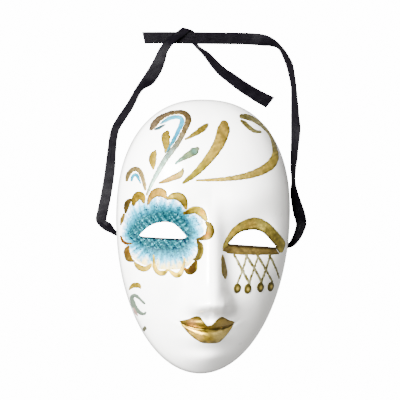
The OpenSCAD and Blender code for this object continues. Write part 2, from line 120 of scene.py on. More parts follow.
def make_piece(
    name, points, faces, materials, replaces=(), uv=None, paint=None, which=None, flat=False
):
    """A mesh piece from points in millimetres.

    uv and paint hold one row for each point, and which holds the number of each face's material.
    """
    mesh = bpy.data.meshes.new(name)
    mesh.from_pydata((np.asarray(points, float) * MM).tolist(), [], faces)
    if which is not None:
        mesh.polygons.foreach_set("material_index", np.asarray(which, np.int32))
    corners = np.empty(len(mesh.loops), np.int32)
    mesh.loops.foreach_get("vertex_index", corners)
    if uv is not None:
        layer = mesh.uv_layers.new(name="UVMap")
        layer.data.foreach_set("uv", np.asarray(uv, np.float32)[corners].ravel())
    if paint is not None:
        colours = np.hstack([np.asarray(paint, np.float32), np.ones((len(points), 1), np.float32)])
        layer = mesh.color_attributes.new("paint", "FLOAT_COLOR", "POINT")
        layer.data.foreach_set("color", colours.ravel())
    tidy = bmesh.new()
    tidy.from_mesh(mesh)
    bmesh.ops.recalc_face_normals(tidy, faces=tidy.faces)
    tidy.to_mesh(mesh)
    tidy.free()
    mesh.polygons.foreach_set("use_smooth", [not flat] * len(mesh.polygons))
    mesh.update()
    for material in materials:
        mesh.materials.append(material)
    piece = bpy.data.objects.new(name, mesh)
    bpy.context.scene.collection.objects.link(piece)
    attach(piece, "root")
    if replaces:
        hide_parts(*replaces)
    return piece


class Look:
    """A Principled material and short ways to wire nodes into it."""

    def __init__(self, name, **sockets):
        self.material = bpy.data.materials.new(name)
        self.material.use_nodes = True
        self.tree = self.material.node_tree
        self.shader = self.tree.nodes["Principled BSDF"]
        for key, value in sockets.items():
            self.shader.inputs[key.replace("_", " ")].default_value = value

    def add(self, kind, out=0, settings=None, **inputs):
        node = self.tree.nodes.new("ShaderNode" + kind)
        for key, value in (settings or {}).items():
            setattr(node, key, value)
        for key, value in inputs.items():
            socket = node.inputs[int(key[1:])] if key[0] == "i" and key[1:].isdigit() else node.inputs[key]
            if isinstance(value, bpy.types.NodeSocket):
                self.tree.links.new(value, socket)
            else:
                socket.default_value = value
        return node.outputs[out]

    def coords(self, kind="Object", scale=(1, 1, 1), turn=(0, 0, 0)):
        place = self.add("TexCoord", out=kind)
        return self.add("Mapping", Vector=place, Scale=scale, Rotation=turn)

    def own_paint(self):
        """The colour that the mesh carries at each point."""
        return self.add("Attribute", settings={"attribute_name": "paint"})

    def noise(self, where, scale, detail=3.0, rough=0.5, out=0):
        return self.add("TexNoise", out=out, Vector=where, Scale=scale, Detail=detail, Roughness=rough)

    def ramp(self, value, *stops):
        node = self.tree.nodes.new("ShaderNodeValToRGB")
        line = node.color_ramp
        while len(line.elements) < len(stops):
            line.elements.new(0.5)
        for element, (at, colour) in zip(line.elements, stops):
            element.position = at
            element.color = (*colour, 1) if hasattr(colour, "__len__") else (colour, colour, colour, 1)
        self.tree.links.new(value, node.inputs[0])
        return node.outputs[0]

    def blend(self, share, a, b, how="MIX"):
        """Mixes two colours; each is a socket or a tuple."""
        node = self.tree.nodes.new("ShaderNodeMix")
        node.data_type, node.blend_type = "RGBA", how
        for index, value in ((0, share), (6, a), (7, b)):
            socket = node.inputs[index]
            if isinstance(value, bpy.types.NodeSocket):
                self.tree.links.new(value, socket)
            else:
                socket.default_value = value if index == 0 else (*value, 1)
        return node.outputs[2]

    def sum(self, a, b, how="ADD"):
        return self.add("Math", settings={"operation": how}, i0=a, i1=b)

    def bump(self, height, deep_mm, strength=1.0, over=None):
        extra = {} if over is None else {"Normal": over}
        return self.add("Bump", Height=height, Distance=deep_mm * MM, Strength=strength, **extra)

    def set(self, **links):
        for key, value in links.items():
            self.tree.links.new(value, self.shader.inputs[key.replace("_", " ")])
        return self.material


# ---------------------------------------------------------------- satin ribbons

# Each row is the left edge and the right edge, x y z each, from the glued end
RIBBON_LEFT = [
    [-66.8, -2, 21.5, -67.2, 4, 21.5],
    [-69.6, -2, 15, -70.1, 4, 15],
    [-71.6, -2, 8, -72.1, 4, 8],
    [-72.6, -2, 2.4, -72.9, 4, 2.4],
    [-76.4, -1.2, 1.2, -76.0, 3.4, 1.2],
    [-81, 1, 1.4, -79, 7, 2],
    [-88, 4.5, 0.6, -81.5, 10, 3.5],
    [-94, 11.5, 0.5, -84.6, 12, 2],
    [-93, 20, 0.5, -83.7, 19, 3.5],
    [-91, 30, 0.5, -82, 29, 4.5],
    [-89.3, 40, 0.5, -80.6, 39, 5],
    [-87.6, 51, 0.5, -79.4, 50, 5.8],
    [-86.4, 62, 0.5, -78.7, 61, 6.4],
    [-85.2, 73, 0.5, -78.4, 72, 7.2],
    [-84.2, 83, 0.5, -77.8, 82, 7.6],
    [-82, 93, 0.5, -76, 91, 8],
    [-76.5, 103.5, 0.5, -70.6, 100.5, 7.8],
    [-70.2, 113, 0.5, -65, 109.6, 8],
    [-65.5, 121.4, 0.5, -61, 118.2, 8],
    [-61.5, 128.8, 0.5, -56.4, 126.2, 7.6],
    [-55.6, 138, 0.5, -47.2, 132.2, 2],
    [-50.4, 146.6, 0.6, -40.4, 142.6, 1.4],
    [-46, 155, 0.6, -37.2, 152.2, 4],
    [-42.8, 162, 0.8, -35.4, 160, 6],
    [-38.4, 168.8, 2.2, -32, 165.6, 7.4],
    [-33.6, 173.4, 2, -26.6, 171.2, 5.4],
    [-27.6, 178.2, 2, -20.2, 176, 3],
    [-22.6, 182.2, 1.4, -15.6, 180, 1.8],
    [-20.8, 181.8, 0.5, -13, 180.2, 0.5],
    [-18.6, 177.4, 0.3, -11.6, 177.8, 0.4],
    [-15.2, 170.8, 0.3, -10.6, 174.8, 0.4],
    [-10.8, 166, 0.3, -8.2, 168.2, 0.5],
    [-6.8, 162.2, 0.4, -4.2, 164.2, 4.2],
    [-3, 158.4, 0.5, 0.7, 161, 7],
    [5.2, 148, 0.5, 9.8, 152.4, 7.4],
    [11, 142, 0.4, 16, 147.4, 6.2],
    [18.8, 136, 0.4, 23.6, 143.2, 4.2],
    [27.2, 129.8, 0.4, 32.2, 137.8, 2.8],
    [35.9, 124.4, 0.3, 41, 132.8, 1.4],
    [44.6, 119.2, 0.3, 50.2, 128.2, 0.6],
    [53.5, 114.6, 0.3, 60.5, 123.7, 0.3]
]
RIBBON_RIGHT = [
    [66.1, -9, 21.5, 66.7, -3, 21.5],
    [69, -9, 15, 69.6, -3, 15],
    [70.9, -9, 8, 71.5, -3, 8],
    [71.7, -9, 2.4, 72.3, -3, 2.4],
    [76.2, -8.4, 1.2, 75.8, -3.8, 1.2],
    [81.4, -6, 1.6, 78, -0.6, 1.4],
    [87, 1.6, 3.2, 80.6, 5.4, 0.6],
    [91.6, 12.4, 0.5, 82.2, 13, 0.5],
    [90, 22, 3.5, 79.6, 21.6, 0.5],
    [86.8, 30.4, 5, 77.8, 30.8, 0.5],
    [82.2, 41, 8, 76.6, 41, 0.5],
    [79.6, 50.4, 10, 77.4, 50.6, 0.5],
    [79.8, 61, 9.6, 76.4, 61, 0.5],
    [81, 70, 9.2, 76.2, 70, 0.5],
    [81.6, 79, 8.8, 76.2, 79, 0.5],
    [82.6, 88, 8, 76.2, 88, 0.5],
    [83.2, 97.4, 7.6, 76, 97.4, 0.5],
    [81.8, 107, 8.4, 75.8, 107, 0.5],
    [80.6, 117, 9.2, 75.6, 117, 0.5],
    [79.4, 126, 9.6, 75.4, 126, 0.5],
    [78.4, 134, 9.8, 75, 133.4, 0.5],
    [77, 143, 9.4, 73.2, 142, 0.5],
    [75, 152.6, 9.4, 70.8, 150.8, 0.5],
    [70, 161.4, 9.8, 67.4, 158.8, 0.5],
    [64.6, 168.4, 10, 63, 166.6, 0.5],
    [57.4, 174.6, 8.6, 55.8, 168.8, 0.5],
    [50, 178.2, 5, 49.4, 169, 0.5],
    [42, 179.4, 1.2, 41.6, 169.4, 0.5],
    [30, 179.6, 0.6, 30, 169.6, 0.6],
    [12, 179.2, 0.8, 12, 169.2, 0.8],
    [-4, 178.8, 1.1, -4, 168.8, 1.1],
    [-16, 178.6, 1.2, -16, 168.6, 1.2],
    [-28, 178.2, 1.2, -28, 168.4, 1.2],
    [-42, 177.8, 0.9, -41.6, 168.1, 0.8],
    [-57.6, 177.2, 0.3, -55.2, 167.5, 0.3]
]
RIBBON_WIDTH = 10.0
RIBBON_THICK = 0.36
RIBBON_SPREAD = 0.05    # how much wider a free ribbon is than its rows
RIBBON_STEPS = 8        # steps between two rows
RIBBON_COLS = 12        # strips across
GATHERED = 9            # how many rows from the glued end are gathered
THREAD = 0.16           # width of a warp thread


def satin():
    """Black satin: fine threads, a soft sheen and a darker woven edge."""
    look = Look(
        "black_satin", Roughness=0.42, Specular_IOR_Level=0.02, Anisotropic=0.6,
        Sheen_Weight=0.006, Sheen_Roughness=0.35, Sheen_Tint=(0.8, 0.72, 0.9, 1),
    )
    across = look.add("SeparateXYZ", Vector=look.coords("UV", (1, 1, 1)))
    threads = look.coords("UV", (RIBBON_WIDTH / THREAD, 0, 0))
    warp = look.add("TexWave", Vector=threads, Scale=0.5, Distortion=0.0)
    weft = look.add(
        "TexWave", settings={"bands_direction": "Y"}, Vector=look.coords("UV", (0, 1 / 0.03, 0)),
        Scale=0.5, Distortion=0.4,
    )
    weave = look.blend(0.4, warp, weft)
    shade = look.noise(look.coords("UV", (2.5, 0.5, 1)), 3.0, 4.0)
    body = look.ramp(shade, (0.3, (0.0006, 0.0005, 0.0008)), (0.72, (0.0018, 0.0014, 0.0023)))
    # the woven edge is darker: pingpong is 0 at both edges and 0.5 in the middle
    to_edge = look.sum(across, 0.5, "PINGPONG")
    edge = look.ramp(to_edge, (0.0, 0.0), (0.05, 0.0), (0.09, 1.0))
    colour = look.blend(edge, (0.0003, 0.0003, 0.0004), body)
    tangent = look.add("Tangent", settings={"direction_type": "UV_MAP"})
    return look.set(
        Base_Color=colour, Tangent=tangent, Roughness=look.ramp(shade, (0.3, 0.36), (0.75, 0.5)),
        Normal=look.bump(weave, 0.05, 0.5),
    )


def make_ribbon(name, route, node, material):
    """A flat ribbon between the two edges of its route, from its glued end to its cut end."""
    rows = smooth(route, RIBBON_STEPS)
    left, right = rows[:, :3], rows[:, 3:]
    middle, side = (left + right) / 2, (left - right) / 2
    ahead = np.gradient(middle, axis=0)
    out = np.cross(ahead, side)
    out /= np.linalg.norm(out, axis=1)[:, None]
    out *= np.where(out[:, 2:] < 0, -1, 1)
    cols = RIBBON_COLS
    a = 1 - 2 * np.arange(cols + 1) / cols      # 1 at the left edge, -1 at the right one
    along = lengths(middle)
    seed = len(route)
    # a gathered end has pleats, the rest only small creases, and neither goes below the lying line
    past = np.arange(len(rows)) - GATHERED * RIBBON_STEPS
    gather = np.clip(-past / 30, 0, 1)[:, None]
    width = 2 * np.linalg.norm(side, axis=1)
    pleats = 0.45 * gather * np.clip((RIBBON_WIDTH - width) / 3, 0, 1)[:, None] * np.cos(3 * np.pi * a)
    crease = 0.09 * (1 + ripple(along, 9, seed))[:, None] * (1 - 0.5 * a**2)
    crease = crease + 0.05 * (1 + ripple(along[:, None] + 3 * a, 4, seed + 1))
    side = side * (1 + RIBBON_SPREAD * np.clip(past / 24, 0, 1)[:, None])
    half = RIBBON_THICK / 2 * (0.35 + 0.65 * (1 - a**8))
    centre = middle[:, None] + side[:, None] * a[:, None] + out[:, None] * (pleats + crease)[..., None]
    top, under = centre + out[:, None] * half[:, None], centre - out[:, None] * half[:, None]
    ring = np.concatenate([top, under[:, ::-1]], axis=1)
    m, n = ring.shape[1], len(rows)
    faces = [
        (i * m + j, i * m + (j + 1) % m, (i + 1) * m + (j + 1) % m, (i + 1) * m + j)
        for i in range(n - 1) for j in range(m)
    ]
    for i in (0, n - 1):
        faces += [(i * m + k, i * m + k + 1, i * m + m - 2 - k, i * m + m - 1 - k) for k in range(cols)]
    u = np.concatenate([(1 - a) / 2, (1 - a[::-1]) / 2])
    uv = np.stack([np.tile(u, (n, 1)), np.tile(along[:, None] / RIBBON_WIDTH, (1, m))], -1)
    points = ring.reshape(-1, 3)
    piece = make_piece(name, points, faces, [material], [node], uv.reshape(-1, 2))


SATIN = satin()
make_ribbon("tie_ribbon_left", RIBBON_LEFT, "ribbon_left", SATIN)
make_ribbon("tie_ribbon_right", RIBBON_RIGHT, "ribbon_right", SATIN)


# ---------------------------------------------------------------- the face as a height

# Half the width, the y of the widest place, and the heights above and below it
HALF_W, WIDE_Y, TOP_H, CHIN_H = 76.5, 19.0, 101.0, 139.0
DOME_H, WALL, NOSE_OUT, SOCKET, LIP_OUT = 60.0, 2.5, 26.0, 11.0, 4.5
TOP_POWER, CHIN_POWER = 2.3, 2.0    # how square the outline is
HUB = np.array([0.0, -30.0])        # middle of the spokes that the skin is drawn on


def hump(x, y, cx, cy, sx, sy):
    """A soft bump at cx, cy that is sx wide and sy tall."""
    return np.exp(-(((x - cx) / sx) ** 2) - ((y - cy) / sy) ** 2)


def ramp(a, b, t):
    """0 at a, 1 at b, and smooth between them."""
    u = np.clip((t - a) / (b - a), 0, 1)
    return u * u * (3 - 2 * u)


def rho(x, y, e=0.0):
    """0 in the middle of the mask, 1 on its rim, which e draws in."""
    up = y > WIDE_Y
    h, p = np.where(up, TOP_H, CHIN_H) - e, np.where(up, TOP_POWER, CHIN_POWER)
    return ((np.abs(x) / (HALF_W - e)) ** p + np.abs((y - WIDE_Y) / h) ** p) ** (1 / p)


def nose(x, y, e):
    """The nose's ridge, its ball and its two wings."""
    down = np.clip((36 - y) / 92, 0, 1.2)
    ridge = NOSE_OUT * down**1.15 * ramp(-72, -56, y - 1.8 * e)
    width = 7.5 + 8 * down - 0.8 * e
    return (
        ridge * np.exp(-((np.abs(x) / width) ** 2.4))
        + 4 * hump(x, y, 0, -54, 9, 9)
        + 7 * hump(np.abs(x), y, 12.5, -58, 6, 7.5)
    )


def relief(x, y):
    """Brows, eye sockets, lids, cheeks, muzzle, chin and lips."""
    a = np.abs(x)
    line_y = -79 + 6 * (x / 25) ** 2
    mouth = (
        LIP_OUT * hump(x, y, 0, -73, 20, 5)
        + 1.15 * LIP_OUT * hump(x, y, 0, -86, 16, 5.5)
        - 3 * np.exp(-(((y - line_y) / 1.8) ** 2) - (x / 23) ** 4)
        - 1.5 * hump(x, y, 0, -70, 3.2, 5)
    )
    return (
        4 * hump(a, y, 27, 33, 26, 11)
        - SOCKET * hump(a, y, 36, 3, 19, 14)
        + 3 * hump(a, y, 39, 1, 15, 8)
        + 5 * hump(a, y, 36, -40, 24, 24)
        + 14 * hump(x, y, 0, -79, 29, 22)
        + 15 * hump(x, y, 0, -106, 22, 13)
        - 4 * hump(x, y, 0, -98, 17, 5)
        + mouth
    )


def uneven(x, y):
    """The hand-smoothed gesso is never quite even: slow waves of about 0.1 mm."""
    r = np.random.default_rng(11)
    total = 0.0
    for _ in range(14):
        size, turn = r.uniform(12, 46), r.uniform(0, np.pi)
        total = total + np.sin(2 * np.pi * ((x * np.cos(turn) + y * np.sin(turn)) / size + r.uniform()))
    return 0.028 * total


def face(x, y, e=0.0):
    """Height of the outer skin, or of the inner one where e is the wall's thickness."""
    r = np.minimum(1, rho(x, y, e))
    shape = (DOME_H - e) * (1 - r**2.4) ** 0.55 + (1 - r**8) * (relief(x, y) + nose(x, y, e))
    return shape + (1 - r**8) * uneven(x, y)


def lifted(xy, lift, e=0.0):
    """Points over the skin, lift away from it along its normal."""
    x, y = xy[..., 0], xy[..., 1]
    d = 0.05
    zx = (face(x + d, y, e) - face(x - d, y, e)) / (2 * d)
    zy = (face(x, y + d, e) - face(x, y - d, e)) / (2 * d)
    normal = np.stack([-zx, -zy, np.ones_like(zx)], -1)
    normal /= np.linalg.norm(normal, axis=-1, keepdims=True)
    return np.concatenate([xy, face(x, y, e)[..., None]], -1) + normal * np.asarray(lift)[..., None]


# ---------------------------------------------------------------- the shell

# Edges of the eye openings, counter-clockwise
LEFT_EYE = [
    [-20.2, -0.8], [-23.5, 4], [-27.5, 8], [-32, 10.8], [-38.2, 11.6], [-44, 10.7],
    [-49, 8.7], [-54, 5], [-58.4, -0.5], [-56.5, -2.2], [-51, -2.6], [-45, -2.9],
    [-38, -3.1], [-31, -3.3], [-25, -3.4], [-21.5, -2.8]
]
RIGHT_EYE = [
    [59.8, -8.4], [56.6, -4.5], [53.3, -0.5], [48.9, 3.5], [44.3, 5.9], [38.5, 6.8],
    [30.7, 5.6], [26.2, 3.8], [22, 0.8], [19, -2.5], [16.4, -6.3], [24.3, -7.1],
    [38, -7.7], [50, -8.2]
]
SPOKES, RINGS = 320, 112
LOOP_RINGS = (1.3, 0.8, 0.4, 0.0)   # rings of points round an opening, in millimetres from it
LOOP_CLEAR = 1.7                    # the even disc of points stops this far from an opening
EYE_LIP = 0.7                       # the skin ends this far outside an opening, for a rounded edge
EYE_LEAN = 1.7                      # how far the cut leans upwards along an opening's bottom
RIM_ROUND = 0.95
NOTCHES = ((-1, 1.0), (1, -6.0))    # side and y of the notch that each ribbon leaves through
NOTCH_H, NOTCH_HALF = 2.4, 8.5


def rim(turn, e):
    """Points on the outline, which e draws in."""
    c, s = np.cos(turn), np.sin(turn)
    up = s > 0
    h, p = np.where(up, TOP_H, CHIN_H) - e, 2 / np.where(up, TOP_POWER, CHIN_POWER)
    x = (HALF_W - e) * np.sign(c) * np.abs(c) ** p
    return np.stack([x, WIDE_Y + h * np.sign(s) * np.abs(s) ** p], -1)


def in_disc(xy, e):
    """Where points lie on the even disc of rings and spokes that the skin is drawn on."""
    turns = np.linspace(0, 2 * np.pi, 7201)
    edge = rim(turns, e) - HUB
    around = np.unwrap(np.arctan2(edge[:, 1], edge[:, 0]))
    d = xy - HUB
    a = np.arctan2(d[:, 1], d[:, 0])
    a = np.where(a < around[0], a + 2 * np.pi, a)
    turn = np.interp(a, around, turns)
    reach = np.interp(a, around, np.linalg.norm(edge, axis=1))
    u = 2 / np.pi * np.arcsin(np.minimum(1, np.linalg.norm(d, axis=1) / reach))
    return np.stack([u * np.cos(turn), u * np.sin(turn)], -1)


def offset(loop, far):
    """A closed counter-clockwise loop moved outwards by far."""
    ahead = np.roll(loop, -1, 0) - np.roll(loop, 1, 0)
    normal = np.stack([ahead[:, 1], -ahead[:, 0]], -1)
    normal /= np.linalg.norm(normal, axis=1)[:, None]
    return loop + normal * np.asarray(far).reshape(-1, 1)


def inside(xy, loop):
    """Which points are in a closed loop."""
    x, y = xy[:, 0][:, None], xy[:, 1][:, None]
    ax, ay = loop[:, 0], loop[:, 1]
    bx, by = np.roll(ax, -1), np.roll(ay, -1)
    rise = np.where(by == ay, 1e-12, by - ay)
    crosses = ((ay > y) != (by > y)) & (x < (bx - ax) * (y - ay) / rise + ax)
    return crosses.sum(1) % 2 == 1


def skin(loops, e, fine=False):
    """Points, triangles, the place of each loop's points and of the rim's, on a skin e deep.

    The triangles leave the loops open. fine adds a closer grid at the mouth.
    """
    turn = 2 * np.pi * np.arange(SPOKES) / SPOKES
    share = np.sin(np.pi / 2 * np.arange(1, RINGS + 1) / RINGS)
    xy = (HUB + (rim(turn, e) - HUB)[None] * share[:, None, None]).reshape(-1, 2)
    ring = np.arange(1, RINGS + 1)[:, None] / RINGS
    disc = np.stack([ring * np.cos(turn), ring * np.sin(turn)], -1).reshape(-1, 2)
    rim_row = np.zeros(len(xy), bool)
    rim_row[-SPOKES:] = True
    keep = ~np.any([inside(xy, offset(loop, LOOP_CLEAR)) for loop in loops], axis=0)
    if fine:
        # the groove between the lips curves too sharply for the rings and spokes
        gx, gy = np.meshgrid(np.arange(-27, 27.1, 0.6), np.arange(-95, -64, 0.45))
        gx = gx + 0.3 * (np.arange(len(gx)) % 2)[:, None]
        more = np.column_stack([gx.ravel(), gy.ravel()])
        keep &= ~((np.abs(xy[:, 0]) < 27.8) & (np.abs(xy[:, 1] + 79.5) < 16.2))
        xy, disc = np.vstack([xy, more]), np.vstack([disc, in_disc(more, e)])
        keep, rim_row = np.append(keep, [True] * len(more)), np.append(rim_row, [False] * len(more))
    xy, disc, rim_row = xy[keep], disc[keep], rim_row[keep]
    xy, disc = np.vstack([HUB, xy]), np.vstack([[0, 0], disc])
    rim_row = np.concatenate([[False], rim_row])
    edges, places = [], []
    for loop in loops:
        for far in LOOP_RINGS:
            more = offset(loop, far)
            if far == 0:
                n = np.arange(len(loop)) + len(xy)
                edges += list(zip(n.tolist(), np.roll(n, -1).tolist()))
                places.append(n)
            xy, disc = np.vstack([xy, more]), np.vstack([disc, in_disc(more, e)])
    made = delaunay_2d_cdt([Vector(p) for p in disc], edges, [], 0, 1e-9)
    index = np.array([ids[0] for ids in made[3]])
    tris = index[np.array(made[2])]
    centres = xy[tris].mean(1)
    holes = np.any([inside(centres, loop) for loop in loops], axis=0)
    points = np.column_stack([xy, face(xy[:, 0], xy[:, 1], e)])
    rims = np.flatnonzero(rim_row)
    points[rims, 2] = 0
    return points, tris[~holes], places, rims


def strip_relief(x, y):
    """Layers of torn paper strips inside: how thick they lie on top of each other."""
    r = np.random.default_rng(5)
    total = np.zeros_like(x)
    for k in range(120):
        cx, cy, turn = r.uniform(-70, 70), r.uniform(-115, 115), r.uniform(0, np.pi)
        long, wide = r.uniform(22, 42), r.uniform(8, 13)
        u = (x - cx) * np.cos(turn) + (y - cy) * np.sin(turn)
        v = -(x - cx) * np.sin(turn) + (y - cy) * np.cos(turn)
        torn = 0.8 * ripple(u + v, 5, k)
        total += ramp(0, 1.0, long - np.abs(u) + torn) * ramp(0, 1.0, wide - np.abs(v) + torn)
    return 0.13 * total


def make_shell(materials):
    """Two skins, the rounded rim between them, and the cut edge of each opening.

    The materials are gesso, bare paper, the left opening's edge and the right opening's edge.
    """
    loops = [smooth(loop, 12, True) for loop in (LEFT_EYE, RIGHT_EYE)]
    eyes = [even(np.vstack([loop, loop[:1]]), 0.62)[:-1] for loop in loops]
    borders = [offset(loop, EYE_LIP) for loop in eyes]
    out_points, out_tris, out_places, out_rim = skin(borders, 0.0, True)
    in_points, in_tris, in_places, in_rim = skin(borders, WALL)
    for points, way in ((out_points, -1), (in_points, 1)):
        z = np.clip(points[:, 2], 0, RIM_ROUND)
        near = points[:, 2] < RIM_ROUND
        shift = RIM_ROUND - np.sqrt(RIM_ROUND**2 - (RIM_ROUND - z) ** 2)
        away = points[:, :2] - np.array([0, WIDE_Y])
        away /= np.array([HALF_W**2, 120.0**2])
        away /= np.linalg.norm(away, axis=1)[:, None] + 1e-9
        points[near, :2] += (way * shift[:, None] * away)[near]
    in_points[:, 2] -= strip_relief(in_points[:, 0], in_points[:, 1]) * ramp(1.5, 8, in_points[:, 2])
    points = np.vstack([out_points, in_points])
    base = len(out_points)
    faces = out_tris.tolist() + (in_tris[:, ::-1] + base).tolist()
    which = [0] * len(out_tris) + [1] * len(in_tris)
    for a, b, c, d in zip(out_rim, np.roll(out_rim, -1), np.roll(in_rim, -1) + base, in_rim + base):
        faces.append((int(a), int(b), int(c), int(d)))
        which.append(0)
    # the cut: from the outer skin over a rounded edge, then down a lean to the inner skin
    for number, (loop, o, i) in enumerate(zip(eyes, out_places, in_places)):
        low = 1 - ramp(0.1, 0.5, (loop[:, 1] - loop[:, 1].min()) / np.ptp(loop[:, 1]))
        lean = np.column_stack([np.zeros_like(low), EYE_LEAN * low])
        start, end = out_points[o], in_points[i]
        top = np.column_stack([loop, face(loop[:, 0], loop[:, 1]) - 0.25])
        foot_xy = loop + lean
        foot = np.column_stack([foot_xy, face(foot_xy[:, 0], foot_xy[:, 1], WALL) + 0.35])
        half = (top + foot) / 2
        rows = [o]
        for a, b, c in ((start, top, half), (half, foot, end)):
            for t in (0.25, 0.5, 0.75, 1.0):
                if c is end and t == 1.0:
                    continue
                rows.append(np.arange(len(loop)) + len(points))
                points = np.vstack([points, (1 - t) ** 2 * a + 2 * t * (1 - t) * b + t * t * c])
        rows.append(i + base)
        for k, (p, q) in enumerate(zip(rows, rows[1:])):
            for j in range(len(loop)):
                n = (j + 1) % len(loop)
                faces.append((int(p[j]), int(p[n]), int(q[n]), int(q[j])))
                which.append(2 + number if k < 6 else 1)
    for side, y in NOTCHES:
        here = (np.sign(points[:, 0]) == side) & (np.abs(points[:, 0]) > 55) & (points[:, 2] < 6)
        share = ramp(0, 3.0, NOTCH_HALF - np.abs(points[:, 1] - y))
        points[:, 2] += np.where(here, NOTCH_H * share * (1 - points[:, 2] / 6), 0)
    make_piece(
        "mask_shell_painted", points, faces, materials, ["mask_shell"], which=which
    )


def gesso():
    """White gesso under a gloss varnish: faint brush marks, and a little warmth where it is thin."""
    look = Look("white_gesso", Specular_IOR_Level=0.5, Coat_Weight=0.35, Coat_Roughness=0.12)
    where = look.coords()
    slow = look.noise(where, 28, 4)
    strokes = look.noise(look.coords("Object", (1, 0.16, 1), (0, 0, 0.5)), 900, 5, 0.6)
    grain = look.noise(where, 2600, 3)
    pits = look.add("TexVoronoi", Vector=where, Scale=420.0)
    tone = look.ramp(slow, (0.3, (0.80, 0.79, 0.76)), (0.7, (0.86, 0.855, 0.84)))
    pitted = look.sum(slow, look.ramp(pits, (0.0, 0.0), (0.12, 1.0)), "MULTIPLY")
    height = look.sum(look.sum(strokes, grain), pitted)
    # painted shade: the wall is darkened near the rim, up to where low reaches the height in metres set
    # below
    rim_shade_z = 0.03
    low = look.sum(look.add("SeparateXYZ", out=2, Vector=where), look.sum(slow, 0.004, "MULTIPLY"))
    out_of_rim_shade = look.add("MapRange", Value=low, i1=0.0, i2=rim_shade_z)
    out_of_rim_shade = look.ramp(out_of_rim_shade, (0.12, 0.0), (0.3, 0.5), (0.5, 1.0))
    return look.set(
        # the dark grey is the painted shade at the rim
        Base_Color=look.blend(out_of_rim_shade, (0.1, 0.1, 0.092), tone),
        Roughness=look.ramp(look.noise(where, 70, 4), (0.3, 0.26), (0.7, 0.4)),
        Normal=look.bump(height, 0.06, 0.35),
    )


def raw_paper():
    """Bare papier-mache inside: torn strips, paste and paper fibres."""
    look = Look("raw_papier_mache", Roughness=0.82, Specular_IOR_Level=0.25)
    where = look.coords()
    bent = look.blend(0.03, where, look.noise(where, 120, 3, out=1))
    patches = look.add("TexVoronoi", out="Color", Vector=bent, Scale=62.0)
    seams = look.add("TexVoronoi", settings={"feature": "DISTANCE_TO_EDGE"}, Vector=bent, Scale=62.0)
    fibres = look.noise(look.coords("Object", (1, 0.22, 1), (0, 0, 0.9)), 1500, 5, 0.65)
    patch = look.add("SeparateColor", Color=patches)
    tone = look.ramp(patch, (0.0, (0.53, 0.49, 0.42)), (1.0, (0.66, 0.62, 0.54)))
    stain = look.ramp(look.noise(where, 40, 5), (0.45, 0.0), (0.75, 0.5))
    stained = look.blend(stain, tone, (0.44, 0.38, 0.29))
    edge = look.ramp(seams, (0.0, 0.0), (0.02, 1.0))
    height = look.sum(fibres, look.sum(edge, look.noise(where, 700, 4)))
    streaks = look.ramp(fibres, (0.3, (0.42, 0.38, 0.31)), (0.7, (0.78, 0.74, 0.66)))
    colour = look.blend(0.25, stained, streaks)
    return look.set(Base_Color=colour, Normal=look.bump(height, 0.16, 0.6))


def cut_edge(name, dark, light, metallic):
    """The painted edge of an eye opening, with painted shade mixed into its colour."""
    look = Look(name, Roughness=0.6, Metallic=metallic, Specular_IOR_Level=0.03)
    where = look.coords()
    colour = look.ramp(look.noise(where, 900, 4), (0.35, dark), (0.7, light))
    return look.set(Base_Color=colour, Normal=look.bump(look.noise(where, 1800, 4), 0.1, 0.5))


make_shell([
    gesso(), raw_paper(),
    # both cut edges are mixed near black: their own paint, and painted shade in the cut
    cut_edge("cut_edge_teal_and_shade", (0.0002, 0.0012, 0.002), (0.0006, 0.005, 0.007), 0.0),
    cut_edge("cut_edge_brown_and_shade", (0.004, 0.003, 0.0012), (0.016, 0.011, 0.004), 0.1),
])


# ---------------------------------------------------------------- paint

# The left of the face is lit far more strongly, so a pigment there is mixed darker than on the right
BROWN = (0.018, 0.008, 0.0015)
OLIVE = (0.035, 0.026, 0.0015)
ORANGE = (0.14, 0.042, 0.003)
YELLOW = (0.32, 0.19, 0.004)
SHADE_BROWN = (0.04, 0.024, 0.006)
SHADE_ORANGE = (0.34, 0.19, 0.03)
SHADE_YELLOW = (0.62, 0.42, 0.03)
# the next three lines are painted light on the lips: a rose and a pale painted highlight, then a painted
# highlight and a painted shade for their right side
ROSE_LIP_HIGHLIGHT = (0.34, 0.15, 0.045)
PALE_LIP_HIGHLIGHT = (0.62, 0.38, 0.07)
LIT_LIP, SHADE_LIP = (0.5, 0.38, 0.12), (0.26, 0.18, 0.06)
